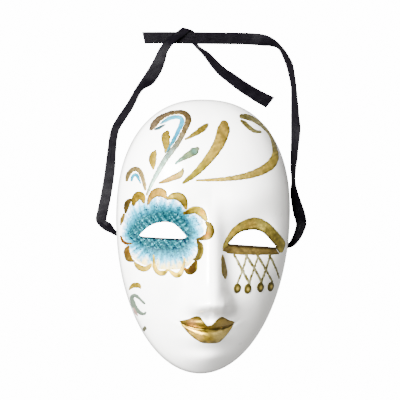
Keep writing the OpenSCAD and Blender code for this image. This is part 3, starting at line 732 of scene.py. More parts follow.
# Places where a brush left another colour, and on the lips painted light: painted highlights on the left and
# on the lower lip, and painted shade on the upper lip's right. Each is x, y, radius in millimetres, colour,
# strength
TINTS = [
    (-50.6, 24.7, 2.6, BROWN, 0.9), (-50.0, 25.6, 1.5, ORANGE, 0.9),
    (-21.0, 20.6, 3.2, BROWN, 0.9), (-21.6, 24.2, 1.7, YELLOW, 0.9),
    (-7.2, 20.8, 3.0, ORANGE, 0.6), (-4.7, 2.2, 3.0, ORANGE, 0.7), (-8.6, -3.6, 3.2, BROWN, 0.8),
    (-10, -12, 5.0, OLIVE, 0.5), (-16.5, -28, 4.2, BROWN, 0.85), (-20.5, -26, 2.0, ORANGE, 0.8),
    (-48.2, -22, 2.4, OLIVE, 0.9), (-23.6, -22, 2.2, OLIVE, 0.9), (-47, -27, 2.6, YELLOW, 0.6),
    (-37.5, -31.6, 2.0, OLIVE, 0.9), (-25.9, -33.4, 2.2, OLIVE, 0.9), (-31, -33, 3.0, YELLOW, 0.7),
    (-66, -14, 5.0, ORANGE, 0.4), (-70, -6, 5.0, ORANGE, 0.6),
    (35.3, 10.8, 7.0, SHADE_ORANGE, 0.5), (23.5, 7.6, 3.0, SHADE_YELLOW, 0.8),
    (19, 3.8, 3.0, SHADE_YELLOW, 0.8), (30, 12, 2.6, SHADE_YELLOW, 0.4),
    (52, 7, 4.2, SHADE_BROWN, 0.6), (57, 1.5, 4.5, SHADE_BROWN, 0.7),
    # the last entry here and all below are on the lips, where most are painted light: painted highlights on
    # the left and the lower lip, painted shade on the upper lip's right
    (61, -4.6, 4.5, SHADE_BROWN, 0.6), (6.5, -73.5, 4.0, OLIVE, 0.6),
    (-18.8, -80.5, 3.6, BROWN, 0.8), (-9, -90.8, 3.6, BROWN, 0.8), (12.5, -84, 9.0, LIT_LIP, 0.9),
    (15, -73.5, 7.0, SHADE_LIP, 0.75), (-7, -86.5, 3.6, PALE_LIP_HIGHLIGHT, 0.8), (-12, -79.8, 4.0, PALE_LIP_HIGHLIGHT, 0.8),
    (-14, -74.0, 4.0, ROSE_LIP_HIGHLIGHT, 0.7), (2, -89, 4, YELLOW, 0.5),
]


def along_stroke(stops, along):
    """Colours that change along a stroke: stops are (share, red, green, blue)."""
    stops = np.asarray(stops, float)
    return np.stack([np.interp(along / along[-1], stops[:, 0], stops[:, k]) for k in (1, 2, 3)], -1)


def tinted(xy, colour, seed):
    """The colour of each point: the brush load varies slowly, and other colours show in a few places."""
    flat = xy.reshape(-1, 2)
    x, y = flat[:, 0], flat[:, 1]
    load = 1 + 0.16 * ripple(x + 0.6 * y, 7, seed) + 0.12 * ripple(y - 0.4 * x, 4, seed + 50)
    out = np.broadcast_to(colour, xy.shape[:-1] + (3,)).reshape(-1, 3)
    out = out * np.clip(load, 0.55, 1.5)[:, None]
    for cx, cy, size, other, strength in TINTS:
        share = strength * np.exp(-(((x - cx) ** 2 + (y - cy) ** 2) / size**2) ** 1.3)[:, None]
        out = out * (1 - share) + np.asarray(other)[None] * share
    return out


EDGE = (0.065, 0.05, 0.0012)          # where gold paint pools at a stroke's edge it turns olive


def brushed(name, metallic, rough=0.42, streak=0.5):
    """Thick metallic paint: streaks along the stroke, paler where the bristles dragged it thin."""
    look = Look(name, Metallic=metallic, Specular_IOR_Level=0.06)
    own = look.own_paint()
    where = look.coords("UV", (9, 0.9, 1))
    hairs = look.noise(where, 2.2, 4, 0.65)
    blots = look.noise(look.coords(), 420, 4, 0.6)
    worn = look.blend(streak, own, look.ramp(hairs, (0.3, 0.42), (0.5, 0.9), (0.72, 1.0)), "MULTIPLY")
    pale = look.blend(1.0, own, (1.75, 1.7, 1.35), "MULTIPLY")
    lit = look.blend(look.ramp(blots, (0.52, 0.0), (0.72, 0.55)), worn, pale)
    height = look.sum(hairs, look.noise(look.coords(), 1500, 3))
    return look.set(
        Base_Color=lit, Roughness=look.ramp(blots, (0.3, rough - 0.1), (0.7, rough + 0.12)),
        Normal=look.bump(height, 0.14, 0.7),
    )


def wash_look():
    """Thin blue paint that fades outwards into the white, with specks thrown off by the glitter."""
    look = Look("blue_wash", Roughness=0.5, Specular_IOR_Level=0.06)
    own = look.own_paint()
    across = look.add("SeparateXYZ", Vector=look.coords("UV"))
    rays = look.noise(look.coords("UV", (1.6, 11, 1)), 1.0, 3, 0.6)
    streak = look.ramp(rays, (0.3, (0.62, 0.72, 0.78)), (0.5, 1.0), (0.75, 1.25))
    tone = look.blend(1.0, own, streak, "MULTIPLY")
    specks = look.noise(look.coords(), 620, 2, 0.5)
    fewer = look.sum(specks, look.sum(across, 0.16, "MULTIPLY"), "SUBTRACT")
    fleck = look.ramp(fewer, (0.5, 0.0), (0.57, 1.0))
    return look.set(
        Base_Color=look.blend(fleck, tone, (0.002, 0.03, 0.05)),
        Normal=look.bump(look.noise(look.coords(), 900, 4), 0.08, 0.5),
    )


# Share of the way outwards, then red, green and blue
WASH_TONES = np.array([
    (0.0, 0.002, 0.034, 0.042), (0.16, 0.002, 0.068, 0.09), (0.36, 0.006, 0.14, 0.2),
    (0.55, 0.045, 0.25, 0.36), (0.78, 0.28, 0.4, 0.54), (1.0, 0.68, 0.67, 0.71),
])
CREAM = np.array([0.56, 0.43, 0.14])


def wash_colour(xy, u, along):
    """Teal at the glitter, then sky blue and pale violet, and cream in the lower petals."""
    x, y = xy[..., 0], xy[..., 1]
    streaks = 0.11 * ripple(along, 3.2, 41) + 0.08 * ripple(along, 1.4, 42)
    blots = 0.07 * ripple(x + 0.7 * y, 4, 43) + 0.07 * ripple(y - 0.6 * x, 3, 44)
    level = 1.1 * u[None] - 0.13 + (streaks[:, None] + blots) * (0.35 + u[None])
    tone = np.stack([np.interp(level, WASH_TONES[:, 0], WASH_TONES[:, k]) for k in (1, 2, 3)], -1)
    cream = ramp(0.55, 0.85, level) * ramp(-13, -24, y)
    return mix(tone, CREAM, cream[..., None]).reshape(-1, 3)


def paste_look():
    """The clear glue that holds the glitter, tinted teal."""
    look = Look("glitter_paste", Roughness=0.55, Specular_IOR_Level=0.05)
    where = look.coords()
    tone = look.ramp(
        look.noise(where, 900, 5, 0.7),
        (0.36, (0.0006, 0.007, 0.014)), (0.5, (0.002, 0.028, 0.034)), (0.66, (0.008, 0.075, 0.085)),
    )
    cells = look.add("TexVoronoi", Vector=where, Scale=1900.0)
    return look.set(Base_Color=tone, Normal=look.bump(cells, 0.25, 0.9))


def flake_look():
    """Coloured film flakes with a slight shine."""
    look = Look("glitter_flakes", Metallic=0.12, Roughness=0.4, Specular_IOR_Level=0.03)
    rough = look.ramp(look.noise(look.coords(), 3000, 2), (0.3, 0.15), (0.7, 0.4))
    return look.set(Base_Color=look.own_paint(), Roughness=rough)


GOLD_PAINT = brushed("gold_paint", 1.0, 0.58)
SOFT_GOLD = brushed("soft_gold_paint", 0.7, 0.6)
LIP_GOLD = brushed("lip_gold_paint", 0.85, 0.36, 0.35)
BLUE_PAINT = brushed("blue_paint", 0.0, 0.45, 0.6)
DULL_PAINT = brushed("dull_paint", 0.15, 0.5, 0.6)


def coat(xy, top, under=-0.14):
    """Points of a thin coat on the skin: its top, then its underside, sunk in the skin."""
    low = np.full(top.shape, under)
    return np.concatenate([lifted(xy, top).reshape(-1, 3), lifted(xy, low).reshape(-1, 3)])


def coat_faces(n, cols, closed=False, start=0):
    """Faces of a coat: n rows of cols + 1 points on top, then the same rows underneath."""
    c, size = cols + 1, n * (cols + 1)
    faces = []
    for i in range(n if closed else n - 1):
        a, b = start + i * c, start + ((i + 1) % n) * c
        for k in range(cols):
            faces.append((a + k, a + k + 1, b + k + 1, b + k))
            faces.append((size + a + k, size + b + k, size + b + k + 1, size + a + k + 1))
        faces += [(a, b, size + b, size + a), (a + cols, size + a + cols, size + b + cols, b + cols)]
    if not closed:
        for a in (start, start + (n - 1) * c):
            faces += [(a + k, size + a + k, size + a + k + 1, a + k + 1) for k in range(cols)]
    return faces


def strip_uv(u, along):
    """u across a stroke, and its length in centimetres along it."""
    across = np.tile(u, (len(along), 1))
    return np.stack([across, np.tile(along[:, None] / 10, (1, len(u)))], -1).reshape(-1, 2)


def make_film(
    name, left, right, slot, material, colour, height,
    closed=False, cols=10, crown=4.0, cap=1.2, edge=EDGE, edge_strength=0.65, line=None,
):
    """A closed thin coat between two edges on the skin, a little sunk at its border.

    The colour is one colour, a list of stops along the stroke, or a function of the points. Towards
    its edges the paint turns to the edge's colour, and near u = line it is darkened: painted shade
    in the groove between the lips, and a dark line along an opening's border.
    """
    n = len(left)
    seed = sum(map(ord, name))
    u = np.linspace(0, 1, cols + 1)
    xy = mix(left[:, None], right[:, None], u[:, None])
    along = lengths((left + right) / 2)
    end = np.ones(n) if closed else np.sqrt(np.clip(np.minimum(along, along[-1] - along) / cap, 0, 1))
    bristles = 1 + 0.22 * ripple(u, 0.3, seed)[None] + 0.12 * ripple(along[:, None] + 2 * u, 5, seed + 1)
    top = height * (1 - np.abs(2 * u - 1) ** crown)[None] * end[:, None] * bristles - 0.03
    uv = strip_uv(u, along)
    if callable(colour):
        paint = colour(xy, u, along)
    else:
        if isinstance(colour, list):
            colour = along_stroke(colour, along)[:, None]
        paint = tinted(xy, colour, seed)
        rim_share = np.tile(np.abs(2 * u - 1), (n, 1)) + 0.16 * ripple(along[:, None] + 3 * u, 4, seed + 9)
        rim_share = edge_strength * ramp(0.5, 1.0, rim_share).reshape(-1, 1)
        paint = mix(paint, np.asarray(edge), rim_share)
        # painted shade along the groove between the lips, and a dark line along an opening's border
        if line:
            near = np.abs(u - line)[None] * np.linalg.norm(left - right, axis=1)[:, None]
            paint *= 1 - 0.75 * np.exp(-((near / 1.1) ** 2)).reshape(-1, 1)
    make_piece(
        name, coat(xy, top), coat_faces(n, cols, closed), [material], [name.removesuffix("_paint")],
        uv=np.vstack([uv, uv]), paint=np.tile(paint, (2, 1)),
    )


def edges_of(path, wobble=1.0, seed=0, step=0.5):
    """Both edges of a brush stroke whose path is x, y, width.

    Its ends are round, and its edges have a hand-held wobble.
    """
    line = even(smooth(path, 10), step)
    ahead = np.gradient(line[:, :2], axis=0)
    ahead /= np.linalg.norm(ahead, axis=1)[:, None]
    turns = np.radians([82, 62, 42, 20])
    first, last = line[0], line[-1]
    head = [
        [*(first[:2] - ahead[0] * first[2] / 2 * math.sin(t)), first[2] * math.cos(t)] for t in turns
    ]
    tail = [
        [*(last[:2] + ahead[-1] * last[2] / 2 * math.sin(t)), last[2] * math.cos(t)] for t in turns[::-1]
    ]
    line = np.vstack([head, line, tail])
    ahead = np.vstack([[ahead[0]] * 4, ahead, [ahead[-1]] * 4])
    side = np.stack([-ahead[:, 1], ahead[:, 0]], -1)
    at = lengths(line[:, :2])
    room = np.minimum(0.12, 0.05 * line[:, 2]) * wobble
    left = line[:, 2] / 2 + room * (ripple(at, 4.2, seed) + 0.35 * ripple(at, 1.5, seed + 1))
    right = line[:, 2] / 2 + room * (ripple(at, 4.6, seed + 2) + 0.35 * ripple(at, 1.7, seed + 3))
    return line[:, :2] + side * left[:, None], line[:, :2] - side * right[:, None]


def make_stroke(node, path, slot, material, colour, height=0.34, wobble=1.0, cols=8, **more):
    """A brush stroke along its path, which stands for the CAD node."""
    left, right = edges_of(path, wobble, sum(map(ord, node)))
    make_film(node + "_paint", left, right, slot, material, colour, height, cols=cols, **more)


# ---- left eye: glitter band, blue wash and gold petals

BAND_EDGE = [
    [-17.4, 3], [-20.1, 10.3], [-24.6, 16.2], [-30.6, 19.8], [-38.9, 20.5], [-47, 19],
    [-54.9, 15.5], [-61, 11], [-67, 1], [-63, -5], [-55.5, -9], [-48, -11],
    [-40, -11.7], [-31, -11.4], [-24, -9.7], [-19, -4.5]
]
WASH_EDGE = [
    [-7, 5], [-9, 16], [-17, 21], [-26, 28.5], [-37, 30.5], [-46, 33],
    [-57, 30], [-67, 24], [-71.5, 4], [-70, -7], [-64, -18], [-54, -25],
    [-42, -28], [-29, -28], [-18, -24], [-11, -11]
]
PETALS = [
    [[-70, 19, 2], [-69.4, 25, 4.5], [-67.8, 28.8, 4.5], [-65, 30, 2]],
    [[-64.2, 26, 3], [-62.5, 31.5, 6.5], [-60, 33.8, 7.5], [-57.6, 32, 6], [-56.3, 28, 2.5]],
    [[-52.6, 27, 2.5], [-50.4, 33, 5.5], [-46, 36.6, 8], [-41.5, 35.8, 8], [-38.8, 32.5, 3]],
    [[-37, 31.5, 3], [-33, 33.5, 6], [-28.5, 33.5, 7.5], [-24.5, 30.5, 7.5], [-21.6, 24, 3]],
    [[-22.3, 19.6, 3.6], [-18.5, 21, 5.6], [-13.8, 22.4, 6.8], [-8.8, 20.4, 7.6], [-5, 14.8, 3.6]],
    [[-4.4, 12, 2.6], [-1.8, 9, 6], [-1.2, 4.6, 7.8], [-3.2, 0.4, 6.6], [-7.5, -1.4, 4], [-12, -2.5, 2]],
    [[-11, -4, 2.5], [-9.2, -8, 5], [-9.3, -14, 5], [-11.4, -18.5, 4.5], [-14, -19.5, 2]],
    [[-12.6, -21.5, 3], [-14.6, -27, 6.8], [-17.6, -30, 6.2], [-20.9, -28, 2.8]],
    [[-21.5, -19, 1.5], [-22.8, -27, 3], [-25.6, -32.6, 4.8], [-29.2, -33, 4.4], [-34.2, -29.4, 2]],
    [[-35.6, -29.4, 2], [-38.6, -31.9, 4.5], [-42, -31.8, 4.5], [-45.7, -28, 3.5], [-47, -17, 1.5]],
    [[-49, -25, 2], [-51.8, -28.2, 4.5], [-55.3, -28.9, 5], [-59, -27, 4.5], [-61.6, -24, 2]],
    [[-62.6, -22.4, 2], [-65.6, -21.2, 5], [-67.4, -17.5, 5.5], [-68, -13, 4.5], [-67, -10, 2]],
    [[-73, -1.5, 1.2], [-71.5, -5.5, 2.5], [-68.5, -7.4, 2.5], [-64.5, -7.5, 1.2]],
    [[-73.4, 8.5, 1.2], [-72.4, 13, 3], [-71.2, 17.5, 2]]
]
PETAL_COLOURS = [
    (0.06, 0.037, 0.007), (0.115, 0.072, 0.004), (0.125, 0.07, 0.008), (0.08, 0.056, 0.006),
    (0.16, 0.115, 0.008), (0.08, 0.054, 0.006), (0.044, 0.032, 0.006), (0.026, 0.015, 0.002),
    (0.42, 0.29, 0.02), (0.28, 0.19, 0.014), (0.28, 0.19, 0.014), (0.15, 0.09, 0.01),
    (0.1, 0.045, 0.006), (0.2, 0.125, 0.02),
]
PALE_PETALS = (9, 10, 11)
DARK_PETALS = (8,)


def loop_pair(inner, outer, share, grow=0.0, step=10):
    """Two closed edges with matching points.

    The inner one is moved a share of the way to the outer one, which grows outwards by grow.
    """
    a, b = np.asarray(inner, float), np.asarray(outer, float)
    return smooth(mix(a, b, share), step, True), offset(smooth(b, step, True), grow)


def make_wash():
    """The blue wash, from under the glitter to under the petals."""
    inner, outer = loop_pair(BAND_EDGE, WASH_EDGE, -0.16, 1.0)
    make_film(
        "petal_wash_paint", inner, outer, "pale_blue_paint", wash_look(), wash_colour, 0.1,
        closed=True, cols=20, crown=8,
    )


def make_glitter():
    """The lumpy paste round the left opening, with a frayed outer edge; returns both edges."""
    inner, outer = loop_pair(LEFT_EYE, BAND_EDGE, 0.0)
    n, cols = len(inner), 18
    inner = offset(inner, 0.55)
    at = np.arange(n) / n * 120
    fray = 0.5 * ripple(at, 2.5, 3) + 0.35 * ripple(at, 1.2, 4)
    outer = offset(outer, fray)
    u = np.linspace(0, 1, cols + 1)
    xy = mix(inner[:, None], outer[:, None], u[:, None])
    lumps = 1 + 0.35 * ripple(at[:, None] * 1.7 + 9 * u, 2.1, 8) + 0.3 * ripple(at[:, None] - 14 * u, 1.3, 9)
    top = 0.55 * (1 - np.abs(2 * u - 1) ** 3)[None] * np.clip(lumps, 0.3, 1.6) - 0.03
    make_piece(
        "eye_glitter_paste", coat(xy, top), coat_faces(n, cols, True), [paste_look()],
        ["eye_glitter_band"],
    )
    return inner, outer


# From the darkest to the palest
FLAKE_COLOURS = np.array([
    (0.001, 0.005, 0.015), (0.0008, 0.009, 0.016), (0.0015, 0.02, 0.028), (0.003, 0.036, 0.04),
    (0.006, 0.065, 0.075), (0.012, 0.11, 0.14), (0.04, 0.22, 0.27),
])
FLAKE_HALF_THICK = 0.03


def make_flakes(name, xy, lift, seed, small=0.26, large=0.46, darker=0.0):
    """Loose hexagonal glitter flakes, each a closed little plate that lies at its own tilt.

    small and large are the least and largest radius, and lift is how high they lie over the skin.
    """
    r = np.random.default_rng(seed)
    n = len(xy)
    centre = lifted(xy, lift)
    normal = lifted(xy, np.asarray(lift) + 1) - centre
    normal += r.normal(0, 0.32, (n, 3))
    normal /= np.linalg.norm(normal, axis=1)[:, None]
    a = np.cross(normal, r.normal(size=(n, 3)))
    a /= np.linalg.norm(a, axis=1)[:, None]
    b = np.cross(normal, a)
    size = r.uniform(small, large, n)[:, None]
    turns = [math.pi / 3 * k for k in range(6)]
    corner = [math.cos(turn) * a * size + math.sin(turn) * b * size for turn in turns]
    sides = (FLAKE_HALF_THICK, -FLAKE_HALF_THICK)
    points = np.stack([centre + p + normal * h for h in sides for p in corner], 1)
    plate = [tuple(range(6)), tuple(range(11, 5, -1))]
    plate += [(k, k + 6, (k + 1) % 6 + 6, (k + 1) % 6) for k in range(6)]
    faces = [tuple(12 * i + v for v in f) for i in range(n) for f in plate]
    # neighbouring flakes share a tone, so that the band is mottled as well as sparkling
    x, y = xy[:, 0], xy[:, 1]
    tone = ripple(x + 0.8 * y, 3.2, seed + 1) + ripple(y - 0.7 * x, 2.6, seed + 2) + r.normal(0, 0.75, n)
    number = np.round(2.5 + 0.4 * ramp(-2, 6, y) + 1.5 * tone - darker)
    colours = FLAKE_COLOURS[np.clip(number, 0, len(FLAKE_COLOURS) - 1).astype(int)]
    make_piece(
        name, points.reshape(-1, 3), faces, [FLAKES], paint=np.repeat(colours, 12, 0), flat=True
    )


def scatter(inner, outer, n, seed, toward=None):
    """Random places between two matching closed edges; toward pulls them to the inner edge."""
    r = np.random.default_rng(seed)
    i, t = r.uniform(0, len(inner), n), r.uniform(0, 1, n)
    if toward:
        t = t**toward
    k = i.astype(int) % len(inner)
    f = (i % 1)[:, None]
    a = mix(inner[k], inner[(k + 1) % len(inner)], f)
    b = mix(outer[k], outer[(k + 1) % len(inner)], f)
    return mix(a, b, t[:, None]), t


FLAKES = flake_look()
make_wash()
band_in, band_out = make_glitter()
spots, t = scatter(band_in, band_out, 3000, 21)
make_flakes("eye_glitter_flakes", spots, 0.5 * (1 - np.abs(2 * t - 1) ** 3) + 0.12, 22)
wash_in, wash_out = loop_pair(BAND_EDGE, WASH_EDGE, 0.0)
spots, t = scatter(wash_in, wash_out, 620, 31, 2.4)
r = np.random.default_rng(33)
# Places on the wash where more flakes stuck
CLUSTERS = [(-54.2, 21.5), (-58.8, 17.9), (-45.4, 24.2), (-41.4, 24.3), (-28.1, 22.8), (-28.6, 17.8)]
spots = np.vstack([spots] + [np.array(c) + r.normal(0, 1.0, (22, 2)) for c in CLUSTERS])
make_flakes("stray_glitter_flakes", spots, np.full(len(spots), 0.12), 34, 0.25, 0.5, 1.4)
for i, path in enumerate(PETALS, 1):
    slot, paint, strength = "gold_paint", GOLD_PAINT, 0.65
    if i in DARK_PETALS:
        slot = "dark_gold_paint"
    if i in PALE_PETALS:
        slot, paint, strength = "pale_gold_paint", SOFT_GOLD, 0.8
    make_stroke(f"petal_{i}", path, slot, paint, PETAL_COLOURS[i - 1], 0.4, edge_strength=strength)


# ---- right eye: gold lids, tear drop and bead fringe

LID_OUTER = [
    [9.4, -10.5], [11.6, -4], [17, 5], [25.5, 13], [38, 17.6], [49, 15],
    [57, 9.4], [64, 3], [70.4, -4.2], [67.4, -12.2]
]
LID_INNER = [
    [13.6, -9.4], [14.8, -5], [18.6, -1], [25.6, 4.8], [38.5, 7.8], [49.4, 4.4],
    [54.2, 0.2], [57.6, -4], [61, -8.2], [63, -12.6]
]
BAR_UPPER = [[12, -8.2], [24.3, -8.2], [38, -8.8], [50, -9.3], [62, -10.1]]
BAR_LOWER = [[9.6, -11.6], [18, -14.4], [36, -14.9], [53, -14.5], [64, -13.8]]
TEAR = [
    [9.9, -15.2, 1.4], [10.2, -19, 3.8], [11.3, -26, 5.8], [12.2, -31, 6], [12.6, -34.4, 2.6]
]
STRING_TOPS = [[21.4, -15.8], [32, -15.9], [42.7, -15.9], [54, -15.6]]
STRING_FEET = [[24.6, -38.2], [34.8, -38.6], [46.4, -37.5], [57.2, -36.9], [65, -33.6]]
BEADS = [[24.4, -43.4], [33.8, -43.8], [45.8, -42.4], [56.6, -41.7]]


# An edge nearer to an opening than the first is drawn up to it, and one past the second stays
CLOSE_BY, FAR_OFF = 3.0, 4.0


def up_to(edge, opening, gap=0.4):
    """Moves the points of an edge that lie close to an opening onto the opening's border."""
    border = offset(even(np.vstack([opening, opening[:1]]), 0.3)[:-1], gap)
    out = edge.copy()
    for i, p in enumerate(edge):
        away = np.linalg.norm(border - p, axis=1)
        k = int(away.argmin())
        out[i] = mix(p, border[k], float(ramp(FAR_OFF, CLOSE_BY, away[k])))
    return out


def bands(a, b, seed, wobble=0.14):
    """Two matching edges as fine curves with a hand-painted wobble."""
    a, b = smooth(a, 14), smooth(b, 14)
    at = lengths((a + b) / 2)
    side = wobble * (a - b) / np.linalg.norm(a - b, axis=1)[:, None]
    shift_a = ripple(at, 5, seed) + 0.4 * ripple(at, 1.8, seed + 1)
    shift_b = ripple(at, 6, seed + 2) + 0.4 * ripple(at, 2.0, seed + 3)
    return a + side * shift_a[:, None], b - side * shift_b[:, None]


BEAD_HALF_W, BEAD_HALF_H, BEAD_RISE = 3.6, 4.3, 0.75
BEAD_LIGHT, BEAD_DARK = np.array([0.5, 0.38, 0.085]), np.array([0.075, 0.06, 0.012])


def make_bead(number, x, y):
    """A round drop of paint: a dark ring with a paler, raised middle."""
    spokes, rings = 36, 9
    share = np.sin(np.pi / 2 * np.arange(rings + 1) / rings)
    turn = 2 * np.pi * np.arange(spokes) / spokes
    ring = np.stack([BEAD_HALF_W * np.cos(turn), BEAD_HALF_H * np.sin(turn)], -1)
    ring = ring * (1 + 0.05 * ripple(turn, 2.1, number))[:, None]
    middle = np.array([[x, y]])
    xy = middle[0] + ring[None] * share[1:, None, None]
    top = BEAD_RISE * np.sqrt(np.clip(1 - share[1:] ** 2, 0, 1)) - 0.03
    top = top + 0.12 * np.exp(-(((share[1:] - 0.75) / 0.16) ** 2))
    top[-1] = -0.06
    points = np.vstack([
        lifted(middle, np.array([0.72])),
        lifted(xy, np.tile(top[:, None], (1, spokes))).reshape(-1, 3),
        lifted(xy[-1], np.full(spokes, -0.2)),
        lifted(middle, np.array([-0.2])),
    ])
    last = len(points) - 1
    faces = []
    for i in range(spokes):
        n = (i + 1) % spokes
        faces.append((0, 1 + i, 1 + n))
        for k in range(rings):
            a, b = 1 + k * spokes, 1 + (k + 1) * spokes
            faces.append((a + i, b + i, b + n, a + n))
        faces.append((1 + rings * spokes + i, last, 1 + rings * spokes + n))
    level = np.concatenate([[0], np.repeat(share[1:], spokes), np.ones(spokes), [1]])
    paint = BEAD_LIGHT + (BEAD_DARK - BEAD_LIGHT) * ramp(0.05, 0.62, level)[:, None]
    uv = np.column_stack([level, np.arange(len(points)) / len(points)])
    node = f"fringe_bead_{number}"
    make_piece(node + "_paint", points, faces, [GOLD_PAINT], [node], uv, paint)


SHADE_EDGE = (0.075, 0.054, 0.008)
right_opening = smooth(RIGHT_EYE, 12, True)
left, right = bands(LID_OUTER, LID_INNER, 61)
make_film(
    "eyelid_upper_paint", left, up_to(right, right_opening), "gold_paint", GOLD_PAINT,
    (0.36, 0.29, 0.055), 0.36, cols=14, edge=SHADE_EDGE, edge_strength=0.75, line=1.0,
)
left, right = bands(BAR_UPPER, BAR_LOWER, 65)
make_film(
    "eyelid_lower_paint", up_to(left, right_opening), right, "dark_gold_paint", GOLD_PAINT,
    (0.16, 0.11, 0.03), 0.36, cols=12, edge=SHADE_EDGE, line=0.001,
)
make_stroke("tear_drop", TEAR, "gold_paint", GOLD_PAINT, (0.13, 0.095, 0.02), 0.4, edge=SHADE_EDGE)
for i, (x, y) in enumerate(BEADS, 1):
    make_bead(i, x, y)


STRING_PAINT, STRING_THIN = np.array([0.12, 0.105, 0.04]), np.array([0.16, 0.16, 0.1])


def make_strings():
    """Seven thin brush lines from the knots under the lid to the beads, the second lot over the first."""
    points, faces, uvs, paints = [], [], [], []
    pairs = [(i, i - 1, 0) for i in (1, 2, 3)] + [(i, i + 1, 1) for i in (0, 1, 2, 3)]
    cols = 4
    u = np.linspace(0, 1, cols + 1)
    for number, (top_i, foot_i, layer) in enumerate(pairs):
        a, b = np.array(STRING_TOPS[top_i]), np.array(STRING_FEET[foot_i])
        bow = np.array([0.25, 0.0]) * (-1) ** number
        path = [
            [*(mix(a, b, t) + bow * math.sin(math.pi * t)), 2.4 - 0.3 * math.sin(2.6 * t + number)]
            for t in np.linspace(-0.04, 1.03, 8)
        ]
        left, right = edges_of(path, 1.6, 80 + 5 * number)
        n = len(left)
        xy = mix(left[:, None], right[:, None], u[:, None])
        top = (0.17 + 0.06 * layer) * (1 - np.abs(2 * u - 1) ** 3)[None] * np.ones((n, 1)) - 0.02
        faces += coat_faces(n, cols, start=sum(map(len, points)))
        points.append(coat(xy, top, -0.1))
        along = lengths((left + right) / 2)
        uvs.append(np.tile(strip_uv(u, along), (2, 1)))
        fade = np.clip(0.75 + 0.5 * ripple(along, 5, number + 7), 0.3, 1.2)[:, None, None]
        colour = np.broadcast_to(STRING_PAINT + (1 - fade) * STRING_THIN, (n, cols + 1, 3))
        paints.append(np.tile(colour.reshape(-1, 3), (2, 1)))
    make_piece(
        "fringe_strings_paint", np.vstack(points), faces, [SOFT_GOLD], ["fringe_strings"],
        np.vstack(uvs), np.vstack(paints),
    )


make_strings()

# ---- lips

MOUTH_LINE = [
    [-23.6, -72.9], [-17.8, -76.2], [-9, -78.2], [0, -78.9], [9, -78.7], [18, -77], [23.4, -73]
]
LIP_TOP = [
    [-24.2, -72.4], [-17, -70.2], [-9, -67.4], [0, -75.6], [9.5, -67.8], [17, -70], [24, -72.4]
]
LIP_BOTTOM = [
    [-22, -76.2], [-14.7, -84.3], [-6, -90.2], [1.5, -91.3], [10.6, -90.3], [17, -84], [22, -76.4]
]
LIP_EDGE = (0.03, 0.022, 0.002)
# each lip is darkened along the mouth's groove, a painted shade
left, right = bands(LIP_TOP, [[x, y - 0.1] for x, y in MOUTH_LINE], 71, 0.1)
make_film(
    "lip_upper_paint", left, right, "lip_gold_paint", LIP_GOLD, (0.16, 0.105, 0.011), 0.36,
    cols=16, edge=LIP_EDGE, line=1.0,
)
left, right = bands([[x, y + 0.35] for x, y in MOUTH_LINE], LIP_BOTTOM, 75, 0.1)
make_film(
    "lip_lower_paint", left, right, "lip_gold_paint", LIP_GOLD, (0.19, 0.13, 0.012), 0.36,
    cols=20, edge=LIP_EDGE, line=0.001,
)

# ---- forehead scrolls and cheek strokes

# Colours along a stroke: share of its length, red, green, blue
SWIRL_STOPS = [
    (0, 0.13, 0.09, 0.05), (0.3, 0.085, 0.055, 0.022), (0.45, 0.1, 0.07, 0.03),
    (0.55, 0.07, 0.065, 0.04), (0.64, 0.06, 0.08, 0.07), (0.74, 0.09, 0.135, 0.105),
    (0.84, 0.14, 0.22, 0.18), (0.95, 0.15, 0.21, 0.16), (1, 0.14, 0.1, 0.05),
]
SWEEP_STOPS = [
    (0, 0.16, 0.115, 0.02), (0.1, 0.25, 0.17, 0.02), (0.25, 0.3, 0.22, 0.04),
    (0.45, 0.42, 0.3, 0.055), (0.58, 0.4, 0.3, 0.05), (0.66, 0.32, 0.27, 0.11),
    (0.84, 0.3, 0.27, 0.13), (0.95, 0.13, 0.11, 0.035), (1, 0.12, 0.1, 0.025),
]
HOOK_STOPS = [
    (0, 0.14, 0.11, 0.03), (0.4, 0.16, 0.13, 0.035), (0.6, 0.25, 0.22, 0.085), (1, 0.2, 0.18, 0.06),
]
COMMA_STOPS = [
    (0, 0.24, 0.16, 0.026), (0.45, 0.22, 0.15, 0.022), (0.7, 0.11, 0.085, 0.007),
    (1, 0.06, 0.048, 0.004),
]
BLUE_STOPS = [
    (0, 0.012, 0.07, 0.1), (0.12, 0.02, 0.13, 0.19), (0.35, 0.004, 0.14, 0.22),
    (0.55, 0.001, 0.1, 0.17), (0.8, 0.003, 0.07, 0.1), (1, 0.02, 0.07, 0.08),
]
LEAF_STOPS = [
    (0, 0.03, 0.09, 0.08), (0.3, 0.05, 0.08, 0.05), (0.6, 0.06, 0.078, 0.035),
    (0.78, 0.035, 0.085, 0.065), (1, 0.085, 0.085, 0.04),
]
LOW_LEAF_STOPS = [
    (0, 0.06, 0.036, 0.006), (0.12, 0.06, 0.036, 0.006), (0.3, 0.13, 0.08, 0.015),
    (0.55, 0.14, 0.085, 0.02), (0.8, 0.12, 0.09, 0.022), (1, 0.09, 0.075, 0.012),
]
